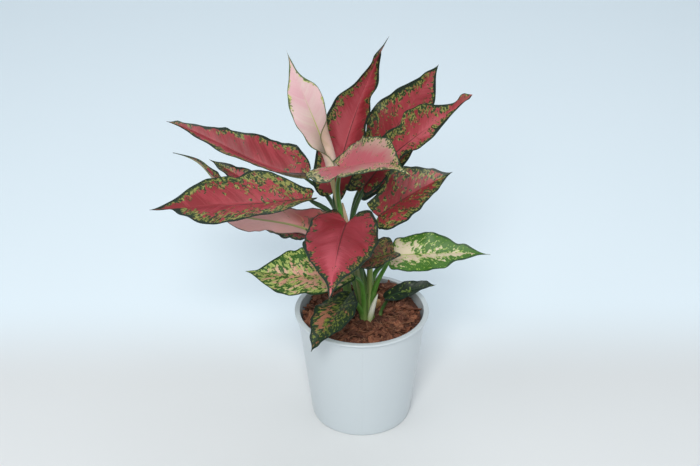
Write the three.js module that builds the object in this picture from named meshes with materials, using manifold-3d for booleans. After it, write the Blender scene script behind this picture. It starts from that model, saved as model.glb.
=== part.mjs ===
// Potted Chinese evergreen: a two-tone Aglaonema in a plain white culture pot.
// Units are millimetres, +Z is up, and the origin is the middle of the pot's underside.
// +X is the plant's right as it is usually looked at, and +Y points away from the viewer.

import * as THREE from 'three';
import * as BufferGeometryUtils from 'three/addons/utils/BufferGeometryUtils.js';
import Module from 'manifold-3d';

const wasm = await Module();
wasm.setup();

// ---------------------------------------------------------------- driving dimensions

const GAP = 0.3; // clearance between pieces that touch on the real plant

const POT = {
  height: 94.6,
  rimRadius: 52.6,
  rimBand: 1.8,
  mouthRadius: 48.4,
  bodyTopRadius: 50.4,
  baseRadius: 39.1,
  wall: 1.8,
  floor: 2,
  footRadius: 37,
  grooveInner: 20,
  grooveOuter: 30,
  grooveDepth: 1.5,
  drainRadius: 3,
  drainCount: 6,
  segments: 48,
};

const SOIL = {
  surface: 83,
  relief: 1.6,
  rings: 6,
  segments: 30,
  chipCount: 38,
  chipSize: [6, 12],
  chipSunk: 0.6, // how far the middle of a chip lies under the surface
  clearRadius: 9, // no chip lies nearer than this to a stem
};

const BLADE = {
  thickness: 0.8,
  rows: 12,
  rowSpread: 1.25, // above 1, the rows lie closer together near the base
  columns: 3,
  sweep: 0.1, // how far the side veins run forward, as a share of the length
  veinCurve: 1.15,
  lobeSpan: 0.3, // the share of the length whose side veins reach back into the lobes
  wave: 1.5,
  waves: 2.5, // ripples of the edge along one blade
  waveLag: 1.3, // how far the left edge's ripples lie from the right edge's, in radians
};

const PETIOLE = {
  sides: 7,
  steps: 9,
  sheathRadius: 3, // a petiole's clasping base, where it leaves the cane
  smallSheathRadius: 1.8,
  depth: 3, // how far under the soil's surface a petiole starts
  tuck: 2, // how far its end reaches under the midrib
  lead: 0.3, // the share of its length that runs in the direction it arrives in
};

const COLOUR = {
  pot: 0xe9eef0,
  soil: 0x6b4031,
  stem: 0x3f7a32,
  paleSheath: 0xd9e0c0,
  stub: 0xb98a55,
  crimson: 0xae3f52,
  pink: 0xd98b94,
  palePink: 0xe6c3bd,
  cream: 0xc8c79a,
  olive: 0x7b6a45,
  green: 0x2f4a35,
};

// Each cane: where it stands in the soil, its radius and the height of its top.
const CANES = {
  front: { foot: [0, -1], radius: 4.2, top: 90 },
  middle: { foot: [7, 5], radius: 4.2, top: 90 },
  back: { foot: [-9, 13], radius: 4.2, top: 90 },
  small: { foot: [15, 9], radius: 2.4, top: 88 },
};
const CANE_ROOT = 66; // how low the canes reach in the soil

// Each leaf: its cane, four points that its midrib passes through from the base to the
// tip, the half widths [left, right] looking from base to tip, the directions that its
// upper face turns to at the base and at the tip, the angles that the two halves are
// folded up by at the base and the change towards the tip, the basal lobes and the drawn-out
// tip, and the petiole: its radius at the blade, its angle to the blade and the point it bends at.
const LEAVES = [
  {
    name: 'blade_left_upper', cane: 'back', colour: COLOUR.crimson,
    midrib: [[-42, 20, 201], [-76, 24, 209], [-112, 31, 226], [-148, 39, 239]],
    half: [20, 21], face: [[0, -4, 10], [0, -5, 10]], fold: [42, 18], foldTip: [0, 0],
    lobe: 0.1, taper: 1.9, belly: 1.6, petiole: { radius: 1.7, angle: 35, bend: [-14, 18, 150] },
  },
  {
    name: 'blade_left_narrow', cane: 'back', colour: COLOUR.olive,
    midrib: [[-67, 26, 173], [-94, 34, 182], [-120, 44, 196], [-146, 50, 207]],
    half: [14, 14], face: [[2, 3, 8], [2, 3, 8]], fold: [20, 20], foldTip: [0, 0],
    lobe: 0.05, taper: 1.9, belly: 1.8, petiole: { radius: 1.3, angle: 35, bend: [-14, 13, 156] },
  },
  {
    name: 'blade_left_back', cane: 'back', colour: COLOUR.crimson,
    midrib: [[-62, 18, 178], [-80, 23, 189], [-98, 30, 199], [-117, 38, 207]],
    half: [14, 9], face: [[0, -3, 10], [0, -3, 10]], fold: [30, 30], foldTip: [0, 0],
    lobe: 0.05, taper: 1.9, belly: 1.8, petiole: { radius: 1.3, angle: 40, bend: [-12, 14, 162] },
  },
  {
    name: 'blade_left_front', cane: 'front', colour: COLOUR.crimson,
    midrib: [[-38, -12, 200], [-74, -20, 200], [-115, -18, 196], [-160, -4, 186]],
    half: [22, 25], face: [[0, -5, 10], [0, -5, 10]], fold: [40, 14], foldTip: [-40, -6],
    lobe: 0.1, taper: 1.7, belly: 2, petiole: { radius: 1.9, angle: 35, bend: [-4, 5, 160] },
  },
  {
    name: 'blade_left_turned', cane: 'front', colour: COLOUR.pink,
    midrib: [[-41, -2, 168], [-62, 0, 173], [-88, 2, 176], [-117, 4, 181]],
    half: [20, 22], face: [[0, 9, 4], [0, 9, 4]], fold: [10, 10], foldTip: [0, 0],
    lobe: 0.22, taper: 1.5, belly: 3.5, petiole: { radius: 1.5, angle: 10, bend: [-4, 8, 160] },
  },
  {
    name: 'blade_left_low', cane: 'back', colour: COLOUR.crimson,
    midrib: [[-39, 24, 147], [-51, 24, 149], [-65, 24, 153], [-83, 24, 159]],
    half: [12, 15], face: [[0, -3, 10], [0, -3, 10]], fold: [20, 20], foldTip: [0, 0],
    lobe: 0.1, taper: 1.9, belly: 1.8, petiole: { radius: 1.4, angle: 30, bend: [-9, 13, 117] },
  },
  {
    name: 'blade_front_heart', cane: 'front', colour: COLOUR.crimson,
    midrib: [[-12, -30, 189], [-17, -61, 190], [-21, -92, 187], [-25, -109, 171]],
    half: [28, 26], face: [[0, 0, 10], [0, -4, 10]], fold: [6, 6], foldTip: [14, 14],
    lobe: 0.27, taper: 2.3, belly: 1.9, petiole: { radius: 1.9, angle: 40, bend: [-2, 6, 150] },
  },
  {
    name: 'blade_young_pale', cane: 'front', colour: COLOUR.palePink,
    midrib: [[-23, -4, 220], [-29, -7, 250], [-40, -6, 280], [-55, 14, 307]],
    half: [19, 12], face: [[3, -10, 3], [3, -10, 3]], fold: [65, 65], foldTip: [-75, -25],
    lobe: 0.03, taper: 2.3, belly: 2.2, petiole: { radius: 1.9, angle: 10, bend: [-6, -4, 150] },
  },
  {
    name: 'blade_tall_crimson', cane: 'middle', colour: COLOUR.crimson,
    midrib: [[-21, 12, 191], [-11, 17, 234], [3, 17, 278], [19, 8, 320]],
    half: [23, 18], face: [[-1, -10, 3], [-3, -10, 3]], fold: [5, 45], foldTip: [75, -10],
    lobe: 0.1, taper: 3, belly: 2.3, petiole: { radius: 1.9, angle: 15, bend: [7, 5, 139] },
  },
  {
    name: 'blade_front_arched', cane: 'front', colour: COLOUR.pink,
    midrib: [[-17, -27, 234], [-4, -49, 246], [13, -74, 261], [31, -96, 261]],
    half: [19, 28], face: [[0, -2, 10], [-2, -3, 9]], fold: [44, -2], foldTip: [18, 20],
    lobe: 0.28, taper: 1.6, belly: 1.6, petiole: { radius: 1.7, angle: 40, bend: [-4, 2, 150] },
  },
  {
    name: 'blade_right_top', cane: 'middle', colour: COLOUR.crimson,
    midrib: [[-3, 27, 185], [16, 35, 217], [36, 40, 249], [57, 38, 285]],
    half: [22, 25], face: [[-3, -10, 5], [-3, -10, 5]], fold: [15, 25], foldTip: [0, -12],
    lobe: 0.1, taper: 1.9, belly: 2.2, petiole: { radius: 1.8, angle: 20, bend: [7, 5, 135] },
  },
  {
    name: 'blade_right_upper', cane: 'middle', colour: COLOUR.crimson,
    midrib: [[1, 11, 196], [24, 10, 225], [49, 2, 251], [79, -3, 279]],
    half: [24, 13], face: [[-3, -10, 6], [-2, -10, 6]], fold: [15, 12], foldTip: [0, 20],
    lobe: 0.1, taper: 2.2, belly: 2, petiole: { radius: 1.8, angle: 20, bend: [7, 5, 139] },
  },
  {
    name: 'blade_right_middle', cane: 'middle', colour: COLOUR.crimson,
    midrib: [[11, -18, 187], [27, -19, 200], [45, -17, 211], [66, -12, 221]],
    half: [22, 23], face: [[-2, -6, 6], [-2, -6, 8]], fold: [15, 25], foldTip: [0, 0],
    lobe: 0.14, taper: 1.7, belly: 1.8, petiole: { radius: 1.8, angle: 30, bend: [7, 5, 134] },
  },
  {
    name: 'blade_right_cream', cane: 'middle', colour: COLOUR.cream,
    midrib: [[24, 5, 140], [46, 2, 143], [72, 0, 145], [99, 0, 143]],
    half: [17, 20], face: [[0, -5, 10], [0, -5, 10]], fold: [24, 15], foldTip: [0, 0],
    lobe: 0.12, taper: 3, belly: 2.4, petiole: { radius: 1.7, angle: 35, bend: [7, 5, 110] },
  },
  {
    name: 'blade_right_shaded', cane: 'middle', colour: COLOUR.olive,
    midrib: [[24, -15, 155], [12, -24, 156], [0, -33, 157], [-12, -42, 157]],
    half: [13, 15], face: [[0, -5, 10], [0, -5, 10]], fold: [20, 30], foldTip: [0, 0],
    lobe: 0.1, taper: 1.9, belly: 1.8, petiole: { radius: 1.5, angle: 85, bend: [7, 5, 118] },
  },
  {
    name: 'blade_front_cream', cane: 'front', colour: COLOUR.cream,
    midrib: [[-9, -18, 138], [-34, -22, 138], [-60, -22, 140], [-89, -14, 138]],
    half: [23, 22], face: [[0, -5, 10], [0, -5, 10]], fold: [20, 10], foldTip: [0, 0],
    lobe: 0.1, taper: 1.9, belly: 1.8, petiole: { radius: 1.6, angle: 30, bend: [0, -1, 109] },
  },
  {
    name: 'blade_front_hanging', cane: 'front', colour: COLOUR.olive,
    midrib: [[-9, -14, 119], [-17, -40, 123], [-28, -62, 120], [-39, -74, 104]],
    half: [19, 16], face: [[-2, 0, 10], [-4, -6, 8]], fold: [15, 10], foldTip: [0, 0],
    lobe: 0.02, taper: 1.9, belly: 1.8, petiole: { radius: 1.5, angle: 45, bend: [0, -1, 97] },
  },
  {
    name: 'blade_rim_small', cane: 'small', colour: COLOUR.green,
    midrib: [[18, 6, 100], [30, 2, 108], [44, 0, 113], [58, 2, 115]],
    half: [8, 7], face: [[0, -5, 10], [0, -5, 10]], fold: [30, 10], foldTip: [0, 0],
    lobe: 0.06, taper: 1.9, belly: 1.8, petiole: { radius: 1.3, angle: 30, bend: [15, 9, 88] },
  },
];

// Small stalks of another colour: a pale bud scale, and the cut stub of an old cane.
const STALKS = [
  {
    name: 'bud_scale', colour: COLOUR.paleSheath,
    path: [[12, -1, 74], [12, -1, 84], [13, 0, 94], [17, 2, 104]], radius: [1.9, 0.4],
  },
  {
    name: 'cane_stub', colour: COLOUR.stub,
    path: [[12, 18, 72], [12, 18, 78], [12.5, 18, 84], [13, 18, 91]], radius: [2.6, 2.6],
  },
];

// A new leaf, still rolled into a spear, that rises between the petioles of the front cane.
const SPEAR = {
  cane: 'front', bend: [0, -2, 120], pull: [-7, -4, 160], tip: [-10, -5, 193], radius: [2.4, 0.5],
};

// The large piece of bark that stands proud of the soil behind the stems.
const BARK = { place: [20, 30, 86], size: [18, 10, 18], turn: -0.35 };

// ---------------------------------------------------------------- helpers

const radians = THREE.MathUtils.degToRad;

function vector(list) {
  return new THREE.Vector3(...list);
}

// A repeatable random number generator, so that the part is the same each time.
function seeded(seed) {
  let state = seed;
  return () => {
    state = (state * 1664525 + 1013904223) % 4294967296;
    return state / 4294967296;
  };
}

function geometryOf(positions, indices) {
  const geometry = new THREE.BufferGeometry();
  geometry.setAttribute('position', new THREE.Float32BufferAttribute(positions, 3));
  geometry.setIndex(indices);
  return geometry;
}

function toManifold(geometry) {
  const bare = geometry.clone();
  bare.deleteAttribute('normal');
  bare.deleteAttribute('uv');
  const merged = BufferGeometryUtils.mergeVertices(bare, 1e-4);
  return new wasm.Manifold(
    new wasm.Mesh({
      numProp: 3,
      vertProperties: new Float32Array(merged.attributes.position.array),
      triVerts: new Uint32Array(merged.index.array),
    }),
  );
}

function fromManifold(solid) {
  const mesh = solid.getMesh();
  return geometryOf(Array.from(mesh.vertProperties), Array.from(mesh.triVerts));
}

function makeMesh(name, geometry, colour, roughness) {
  const shaded = geometry.index ? geometry.toNonIndexed() : geometry;
  shaded.computeVertexNormals();
  const material = new THREE.MeshStandardMaterial({ color: colour, roughness, metalness: 0 });
  const mesh = new THREE.Mesh(shaded, material);
  mesh.name = name;
  return mesh;
}

// A lathe about the Z axis. The profile runs [radius, height] from the axis back to the axis.
function latheZ(profile, segments) {
  const points = profile.map(([radius, height]) => new THREE.Vector2(radius, height));
  const geometry = new THREE.LatheGeometry(points, segments);
  geometry.rotateX(Math.PI / 2);
  return geometry;
}

function cylinderZ(radius, low, high, segments) {
  const geometry = new THREE.CylinderGeometry(radius, radius, high - low, segments);
  geometry.rotateX(Math.PI / 2);
  geometry.translate(0, 0, (low + high) / 2);
  return geometry;
}

// A closed tube along a curve whose radius changes on the way.
function taperedTube(curve, radiusAt, sides, steps) {
  const frames = curve.computeFrenetFrames(steps, false);
  const positions = [];
  const indices = [];
  for (let step = 0; step <= steps; step += 1) {
    const centre = curve.getPointAt(step / steps);
    const radius = radiusAt(step / steps);
    for (let side = 0; side < sides; side += 1) {
      const angle = (side / sides) * 2 * Math.PI;
      const point = centre
        .clone()
        .addScaledVector(frames.normals[step], Math.cos(angle) * radius)
        .addScaledVector(frames.binormals[step], Math.sin(angle) * radius);
      positions.push(point.x, point.y, point.z);
    }
  }
  for (let step = 0; step < steps; step += 1) {
    for (let side = 0; side < sides; side += 1) {
      const a = step * sides + side;
      const b = step * sides + ((side + 1) % sides);
      indices.push(a, b, b + sides, a, b + sides, a + sides);
    }
  }
  const last = steps * sides;
  for (let side = 1; side < sides - 1; side += 1) {
    indices.push(0, side + 1, side);
    indices.push(last, last + side, last + side + 1);
  }
  return geometryOf(positions, indices);
}

// ---------------------------------------------------------------- leaf blades

// The midrib point and direction at a share of the length. Behind the base, where the
// lobes lie, it runs on straight.
function midribAt(leaf, share) {
  const [p0, p1, p2, p3] = leaf.midrib.map(vector);
  const c1 = new THREE.Vector3().addScaledVector(p0, -5).addScaledVector(p1, 18);
  c1.addScaledVector(p2, -9).addScaledVector(p3, 2).divideScalar(6);
  const c2 = new THREE.Vector3().addScaledVector(p0, 2).addScaledVector(p1, -9);
  c2.addScaledVector(p2, 18).addScaledVector(p3, -5).divideScalar(6);
  const curve = new THREE.CubicBezierCurve3(p0, c1, c2, p3);
  const inside = THREE.MathUtils.clamp(share, 0, 1);
  const point = curve.getPoint(inside);
  const ahead = curve.getTangent(inside);
  if (share < 0) point.addScaledVector(c1.clone().sub(p0), 3 * share);
  return { point, ahead };
}

// The direction that the upper face turns to, square to the midrib.
function upwardAt(leaf, share, ahead) {
  const start = vector(leaf.face[0]).normalize();
  const end = vector(leaf.face[1]).normalize();
  const up = start.lerp(end, THREE.MathUtils.clamp(share, 0, 1));
  return up.addScaledVector(ahead, -up.dot(ahead)).normalize();
}

// A point of the upper face: share along the midrib, and across, in millimetres to the right.
function facePoint(leaf, share, across) {
  const { point, ahead } = midribAt(leaf, share);
  const up = upwardAt(leaf, share, ahead);
  const right = new THREE.Vector3().crossVectors(ahead, up);
  const side = across > 0 ? 1 : 0;
  const out = Math.abs(across);
  const toEdge = out / leaf.half[side];
  const inside = THREE.MathUtils.clamp(share, 0, 1);
  const fold = radians(leaf.fold[side] + leaf.foldTip[side] * inside);
  const lag = side === 1 ? 0 : BLADE.waveLag;
  const ripple = BLADE.wave * toEdge ** 2 * Math.sin(2 * Math.PI * BLADE.waves * share + lag);
  point.addScaledVector(right, Math.sign(across) * out * Math.cos(fold));
  return point.addScaledVector(up, out * Math.sin(fold) + ripple);
}

function faceNormal(leaf, share, across) {
  const along = facePoint(leaf, share + 0.01, across).sub(facePoint(leaf, share - 0.01, across));
  const over = facePoint(leaf, share, across + 0.5).sub(facePoint(leaf, share, across - 0.5));
  return over.cross(along).normalize();
}

// The blade's edge where the side vein from the given share of the midrib ends.
function edgeAt(leaf, share, side) {
  const widest = 0.5 / (0.5 + leaf.taper * leaf.belly);
  const peak = Math.sqrt(widest ** (1 / leaf.belly)) * (1 - widest) ** leaf.taper;
  const behind = leaf.lobe * Math.sin(Math.PI * Math.min(share / BLADE.lobeSpan, 1) ** 0.6);
  const width = (Math.sqrt(share) * (1 - share ** leaf.belly) ** leaf.taper) / peak;
  return {
    share: share + BLADE.sweep * Math.sin(Math.PI * share) - behind,
    across: leaf.half[side] * width * (side === 1 ? 1 : -1),
  };
}

// One blade as a closed sheet. Both faces are split into triangles alike.
function bladeGeometry(leaf) {
  const { rows, columns, thickness } = BLADE;
  const positions = [];
  const indices = [];
  const add = (share, across) => {
    const top = facePoint(leaf, share, across);
    const low = top.clone().addScaledVector(faceNormal(leaf, share, across), -thickness);
    positions.push(top.x, top.y, top.z, low.x, low.y, low.z);
    return positions.length / 3 - 2;
  };
  const base = add(0, 0);
  const tip = add(1, 0);
  const grid = [];
  for (let row = 1; row < rows; row += 1) {
    const share = (row / rows) ** BLADE.rowSpread;
    const line = [];
    for (let column = -columns; column <= columns; column += 1) {
      const edge = edgeAt(leaf, share, column > 0 ? 1 : 0);
      const outward = Math.abs(column) / columns;
      const along = share + (edge.share - share) * outward ** BLADE.veinCurve;
      line.push(add(column === 0 ? share : along, edge.across * outward));
    }
    grid.push(line);
  }
  const both = (a, b, c) => {
    indices.push(a, b, c);
    indices.push(a + 1, c + 1, b + 1);
  };
  const width = 2 * columns;
  for (let column = 0; column < width; column += 1) {
    both(base, grid[0][column + 1], grid[0][column]);
    both(tip, grid[rows - 2][column], grid[rows - 2][column + 1]);
    for (let row = 0; row < rows - 2; row += 1) {
      const a = grid[row][column];
      const b = grid[row][column + 1];
      const c = grid[row + 1][column + 1];
      const d = grid[row + 1][column];
      if (column < columns) {
        both(a, b, c);
        both(a, c, d);
      } else {
        both(a, b, d);
        both(b, c, d);
      }
    }
  }
  const left = grid.map((line) => line[0]);
  const right = grid.map((line) => line[width]);
  const rim = [base, ...right, tip, ...left.reverse()];
  rim.forEach((from, place) => {
    const to = rim[(place + 1) % rim.length];
    indices.push(from, from + 1, to + 1, from, to + 1, to);
  });
  return geometryOf(positions, indices);
}

// ---------------------------------------------------------------- petioles and canes

function petioleCurve(leaf) {
  const { radius, angle, bend } = leaf.petiole;
  const { point, ahead } = midribAt(leaf, 0);
  const up = upwardAt(leaf, 0, ahead);
  const below = BLADE.thickness + GAP + radius + 0.1;
  const end = point.addScaledVector(up, -below).addScaledVector(ahead, PETIOLE.tuck);
  const foot = vector([...CANES[leaf.cane].foot, SOIL.surface - PETIOLE.depth]);
  const arrival = ahead.clone().multiplyScalar(Math.cos(radians(angle)));
  arrival.addScaledVector(up, Math.sin(radians(angle)));
  const pull = end.clone().addScaledVector(arrival, -PETIOLE.lead * end.distanceTo(foot));
  return new THREE.CubicBezierCurve3(foot, vector(bend), pull, end);
}

function petioleGeometry(leaf) {
  const { radius } = leaf.petiole;
  const sheath = leaf.cane === 'small' ? PETIOLE.smallSheathRadius : PETIOLE.sheathRadius;
  const radiusAt = (share) => radius + (sheath - radius) * (1 - share) ** 2;
  return taperedTube(petioleCurve(leaf), radiusAt, PETIOLE.sides, PETIOLE.steps);
}

function spearGeometry() {
  const foot = vector([...CANES[SPEAR.cane].foot, SOIL.surface - PETIOLE.depth]);
  const [bend, pull, tip] = [SPEAR.bend, SPEAR.pull, SPEAR.tip].map(vector);
  const curve = new THREE.CubicBezierCurve3(foot, bend, pull, tip);
  const radiusAt = (share) => THREE.MathUtils.lerp(SPEAR.radius[0], SPEAR.radius[1], share ** 2);
  return taperedTube(curve, radiusAt, PETIOLE.sides, PETIOLE.steps);
}

// A shoot: the cane with every petiole that grows from it, as one body.
function shootGeometry(caneName) {
  const cane = CANES[caneName];
  const trunk = cylinderZ(cane.radius, CANE_ROOT, cane.top, 12);
  trunk.translate(cane.foot[0], cane.foot[1], 0);
  let solid = toManifold(trunk);
  LEAVES.filter((leaf) => leaf.cane === caneName).forEach((leaf) => {
    solid = solid.add(toManifold(petioleGeometry(leaf)));
  });
  if (caneName === SPEAR.cane) solid = solid.add(toManifold(spearGeometry()));
  return fromManifold(solid);
}

function stalkGeometry(stalk) {
  const curve = new THREE.CatmullRomCurve3(stalk.path.map(vector));
  const [low, high] = stalk.radius;
  const radiusAt = (share) => THREE.MathUtils.lerp(low, high, share ** 2);
  return taperedTube(curve, radiusAt, PETIOLE.sides, 6);
}

// ---------------------------------------------------------------- pot and soil

// The inside radius of the pot's wall at a height.
function insideRadius(height) {
  const share = height / (POT.height - POT.rimBand);
  return THREE.MathUtils.lerp(POT.baseRadius, POT.bodyTopRadius, share) - POT.wall;
}

function potGeometry() {
  const { height, rimRadius, rimBand, mouthRadius, floor, footRadius, grooveDepth } = POT;
  const profile = [
    [0, 0],
    [POT.grooveInner, 0],
    [POT.grooveInner + 1, grooveDepth],
    [POT.grooveOuter - 1, grooveDepth],
    [POT.grooveOuter, 0],
    [footRadius, 0],
    [POT.baseRadius - 0.7, 0.6],
    [POT.baseRadius, 2],
    [POT.bodyTopRadius, height - rimBand],
    [rimRadius - 0.4, height - rimBand],
    [rimRadius, height - rimBand + 0.4],
    [rimRadius, height - 0.4],
    [rimRadius - 0.4, height],
    [mouthRadius + 0.3, height],
    [mouthRadius, height - 0.3],
    [insideRadius(height - 4), height - 4],
    [insideRadius(grooveDepth + floor + 2), grooveDepth + floor + 2],
    [footRadius - 3, grooveDepth + floor],
    [0, grooveDepth + floor],
  ];
  let solid = toManifold(latheZ(profile, POT.segments));
  const ring = (POT.grooveInner + POT.grooveOuter) / 2;
  for (let hole = 0; hole < POT.drainCount; hole += 1) {
    const angle = ((hole + 0.5) / POT.drainCount) * 2 * Math.PI;
    const cutter = cylinderZ(POT.drainRadius, -1, grooveDepth + floor + 1, 10);
    cutter.translate(ring * Math.cos(angle), ring * Math.sin(angle), 0);
    solid = solid.subtract(toManifold(cutter));
  }
  return fromManifold(solid);
}

// The height of the soil's top: uneven, and a little lower near the pot's wall.
function soilHeight(x, y) {
  const rough = Math.sin(x * 0.41 + 1.7) * Math.cos(y * 0.37) + 0.6 * Math.sin(x * 0.93 - y * 0.71);
  const out = Math.hypot(x, y) / POT.mouthRadius;
  return SOIL.surface + SOIL.relief * 0.6 * rough - 2 * out ** 3;
}

// The soil's body: a plug that fits the pot, with its uneven top.
function soilPlug() {
  const { rings, segments } = SOIL;
  const bottom = POT.grooveDepth + POT.floor + GAP;
  const walls = [bottom, bottom + 3, SOIL.surface - 4];
  const positions = [0, 0, bottom];
  const indices = [];
  const addRing = (radius, heightOf) => {
    for (let step = 0; step < segments; step += 1) {
      const angle = (step / segments) * 2 * Math.PI;
      const x = radius * Math.cos(angle);
      const y = radius * Math.sin(angle);
      positions.push(x, y, heightOf(x, y));
    }
  };
  addRing(POT.footRadius - 5, () => walls[0]);
  addRing(insideRadius(walls[1]) - 2 * GAP, () => walls[1]);
  addRing(insideRadius(walls[2]) - 2 * GAP, () => walls[2]);
  for (let ring = rings; ring > 0; ring -= 1) {
    const radius = (insideRadius(walls[2]) - 2 * GAP) * (ring / rings);
    addRing(radius, soilHeight);
  }
  const count = rings + 3;
  positions.push(0, 0, soilHeight(0, 0));
  const crown = positions.length / 3 - 1;
  for (let step = 0; step < segments; step += 1) {
    const next = (step + 1) % segments;
    indices.push(0, 1 + next, 1 + step);
    for (let ring = 0; ring < count - 1; ring += 1) {
      const a = 1 + ring * segments + step;
      const b = 1 + ring * segments + next;
      indices.push(a, b, b + segments, a, b + segments, a + segments);
    }
    const top = 1 + (count - 1) * segments;
    indices.push(top + step, top + next, crown);
  }
  return geometryOf(positions, indices);
}

// A rough chip of bark: a box whose corners are pushed about.
function chipGeometry(size, jitter, random) {
  const box = new THREE.BoxGeometry(...size);
  box.deleteAttribute('normal');
  box.deleteAttribute('uv');
  const chip = BufferGeometryUtils.mergeVertices(box);
  const place = chip.attributes.position;
  for (let corner = 0; corner < place.count; corner += 1) {
    const push = size.map((side) => side * jitter * (random() - 0.5));
    place.setXYZ(
      corner,
      place.getX(corner) + push[0],
      place.getY(corner) + push[1],
      place.getZ(corner) + push[2],
    );
  }
  return chip;
}

function clearOfStems(x, y, reach) {
  const feet = Object.values(CANES).map((cane) => cane.foot);
  const stalks = STALKS.map((stalk) => stalk.path[0]);
  return [...feet, ...stalks].every(([a, b]) => Math.hypot(x - a, y - b) > SOIL.clearRadius + reach);
}

// The soil with its chips of bark, and a plain hole for each stem that stands in it.
function soilGeometry() {
  const random = seeded(1024);
  let solid = toManifold(soilPlug());
  const limit = insideRadius(SOIL.surface) - 2;
  let placed = 0;
  while (placed < SOIL.chipCount) {
    const length = THREE.MathUtils.lerp(SOIL.chipSize[0], SOIL.chipSize[1], random() ** 2);
    const out = Math.sqrt(random()) * (limit - length * 0.6);
    const angle = random() * 2 * Math.PI;
    const x = out * Math.cos(angle);
    const y = out * Math.sin(angle);
    const chip = chipGeometry([length, length * 0.5, length * 0.4], 0.4, random);
    chip.rotateX((random() - 0.5) * 0.9);
    chip.rotateZ(random() * Math.PI);
    if (clearOfStems(x, y, length * 0.5)) {
      chip.translate(x, y, soilHeight(x, y) - SOIL.chipSunk);
      solid = solid.add(toManifold(chip));
      placed += 1;
    }
  }
  const bark = chipGeometry(BARK.size, 0.35, random);
  bark.rotateZ(BARK.turn);
  bark.translate(...BARK.place);
  solid = solid.add(toManifold(bark));
  const holes = Object.values(CANES).map((cane) => [...cane.foot, cane.radius]);
  STALKS.forEach((stalk) => holes.push([stalk.path[0][0], stalk.path[0][1], stalk.radius[0] + 0.4]));
  holes.forEach(([x, y, radius]) => {
    const cutter = cylinderZ(radius + GAP, CANE_ROOT - GAP, POT.height, 14);
    cutter.translate(x, y, 0);
    solid = solid.subtract(toManifold(cutter));
  });
  return fromManifold(solid);
}

// ---------------------------------------------------------------- the whole plant

const plant = new THREE.Group();
plant.name = 'potted_chinese_evergreen';
plant.add(makeMesh('pot', potGeometry(), COLOUR.pot, 0.3));
plant.add(makeMesh('soil', soilGeometry(), COLOUR.soil, 0.95));
Object.keys(CANES).forEach((caneName) => {
  plant.add(makeMesh(`shoot_${caneName}`, shootGeometry(caneName), COLOUR.stem, 0.5));
});
STALKS.forEach((stalk) => {
  plant.add(makeMesh(stalk.name, stalkGeometry(stalk), stalk.colour, 0.6));
});
LEAVES.forEach((leaf) => {
  plant.add(makeMesh(leaf.name, bladeGeometry(leaf), leaf.colour, 0.45));
});

export default plant;
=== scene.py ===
"""The looks of a potted Chinese evergreen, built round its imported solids.

Every piece is drawn in millimetres in the part's own frame and turned into metres when
its mesh is made: +X is the plant's right, +Y points away from the viewer and +Z is up.
"""

import logging
import math
from collections.abc import Callable, Sequence
from dataclasses import dataclass, field
from enum import Enum

import bpy
import numpy as np
from mathutils import Euler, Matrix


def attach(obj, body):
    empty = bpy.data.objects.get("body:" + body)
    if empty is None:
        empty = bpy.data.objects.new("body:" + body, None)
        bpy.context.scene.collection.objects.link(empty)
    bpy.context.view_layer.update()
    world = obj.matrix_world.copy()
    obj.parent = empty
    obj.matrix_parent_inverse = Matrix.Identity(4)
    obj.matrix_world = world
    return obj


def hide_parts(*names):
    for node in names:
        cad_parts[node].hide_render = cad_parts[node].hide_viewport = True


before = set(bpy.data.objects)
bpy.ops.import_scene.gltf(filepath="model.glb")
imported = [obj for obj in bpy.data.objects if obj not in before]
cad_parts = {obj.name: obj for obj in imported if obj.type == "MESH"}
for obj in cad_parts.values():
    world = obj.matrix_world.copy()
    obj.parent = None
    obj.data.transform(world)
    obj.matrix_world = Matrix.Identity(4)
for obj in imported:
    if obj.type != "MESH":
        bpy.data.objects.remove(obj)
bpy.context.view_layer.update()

LOG = logging.getLogger("evergreen")
MM = 0.001

Point = tuple[float, float, float]
Pair = tuple[float, float]
Shade = tuple[int, int, int]
Section = Callable[[np.ndarray, np.ndarray], np.ndarray]


# ---------------------------------------------------------------- small helpers


def unit(vectors: np.ndarray) -> np.ndarray:
    """The rows of an array, each at length one."""
    return vectors / np.maximum(np.linalg.norm(vectors, axis=-1, keepdims=True), 1e-12)


def columns(*parts: np.ndarray | float) -> np.ndarray:
    """Columns side by side, where a plain number fills its column."""
    return np.stack(np.broadcast_arrays(*parts), axis=1)


def smooth(share: np.ndarray) -> np.ndarray:
    """Eases a share in and out."""
    return share**2 * (3 - 2 * share)


def by_side(is_right: np.ndarray, pair: Pair) -> np.ndarray:
    """The left or the right number of a pair for each point."""
    return np.where(is_right, pair[1], pair[0])


def from_seam(angles: np.ndarray) -> np.ndarray:
    """How far round each angle is from angle 0, either way."""
    return np.minimum(angles, 2 * math.pi - angles)


def tone(colour: Shade) -> tuple[float, ...]:
    """The linear colour of a screen colour, by the usual screen curve, with a full alpha."""
    shares = [value / 255 for value in colour]
    return (*(s / 12.92 if s <= 0.04045 else ((s + 0.055) / 1.055) ** 2.4 for s in shares), 1.0)


def bezier(points: Sequence[np.ndarray], share: np.ndarray) -> np.ndarray:
    """Points of a cubic curve.

    Args:
        points: The curve's four control points.
        share: Where along the curve, 0 to 1.

    Returns:
        One row for each share.
    """
    t = share[:, None]
    a, b, c, d = points
    return (1 - t) ** 3 * a + 3 * (1 - t) ** 2 * t * b + 3 * (1 - t) * t**2 * c + t**3 * d


def through(points: Sequence[Point]) -> tuple[np.ndarray, ...]:
    """The control points of the cubic curve that passes through four points."""
    p0, p1, p2, p3 = (np.array(point, float) for point in points)
    return p0, (-5 * p0 + 18 * p1 - 9 * p2 + 2 * p3) / 6, (2 * p0 - 9 * p1 + 18 * p2 - 5 * p3) / 6, p3


# ---------------------------------------------------------------- meshes


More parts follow.
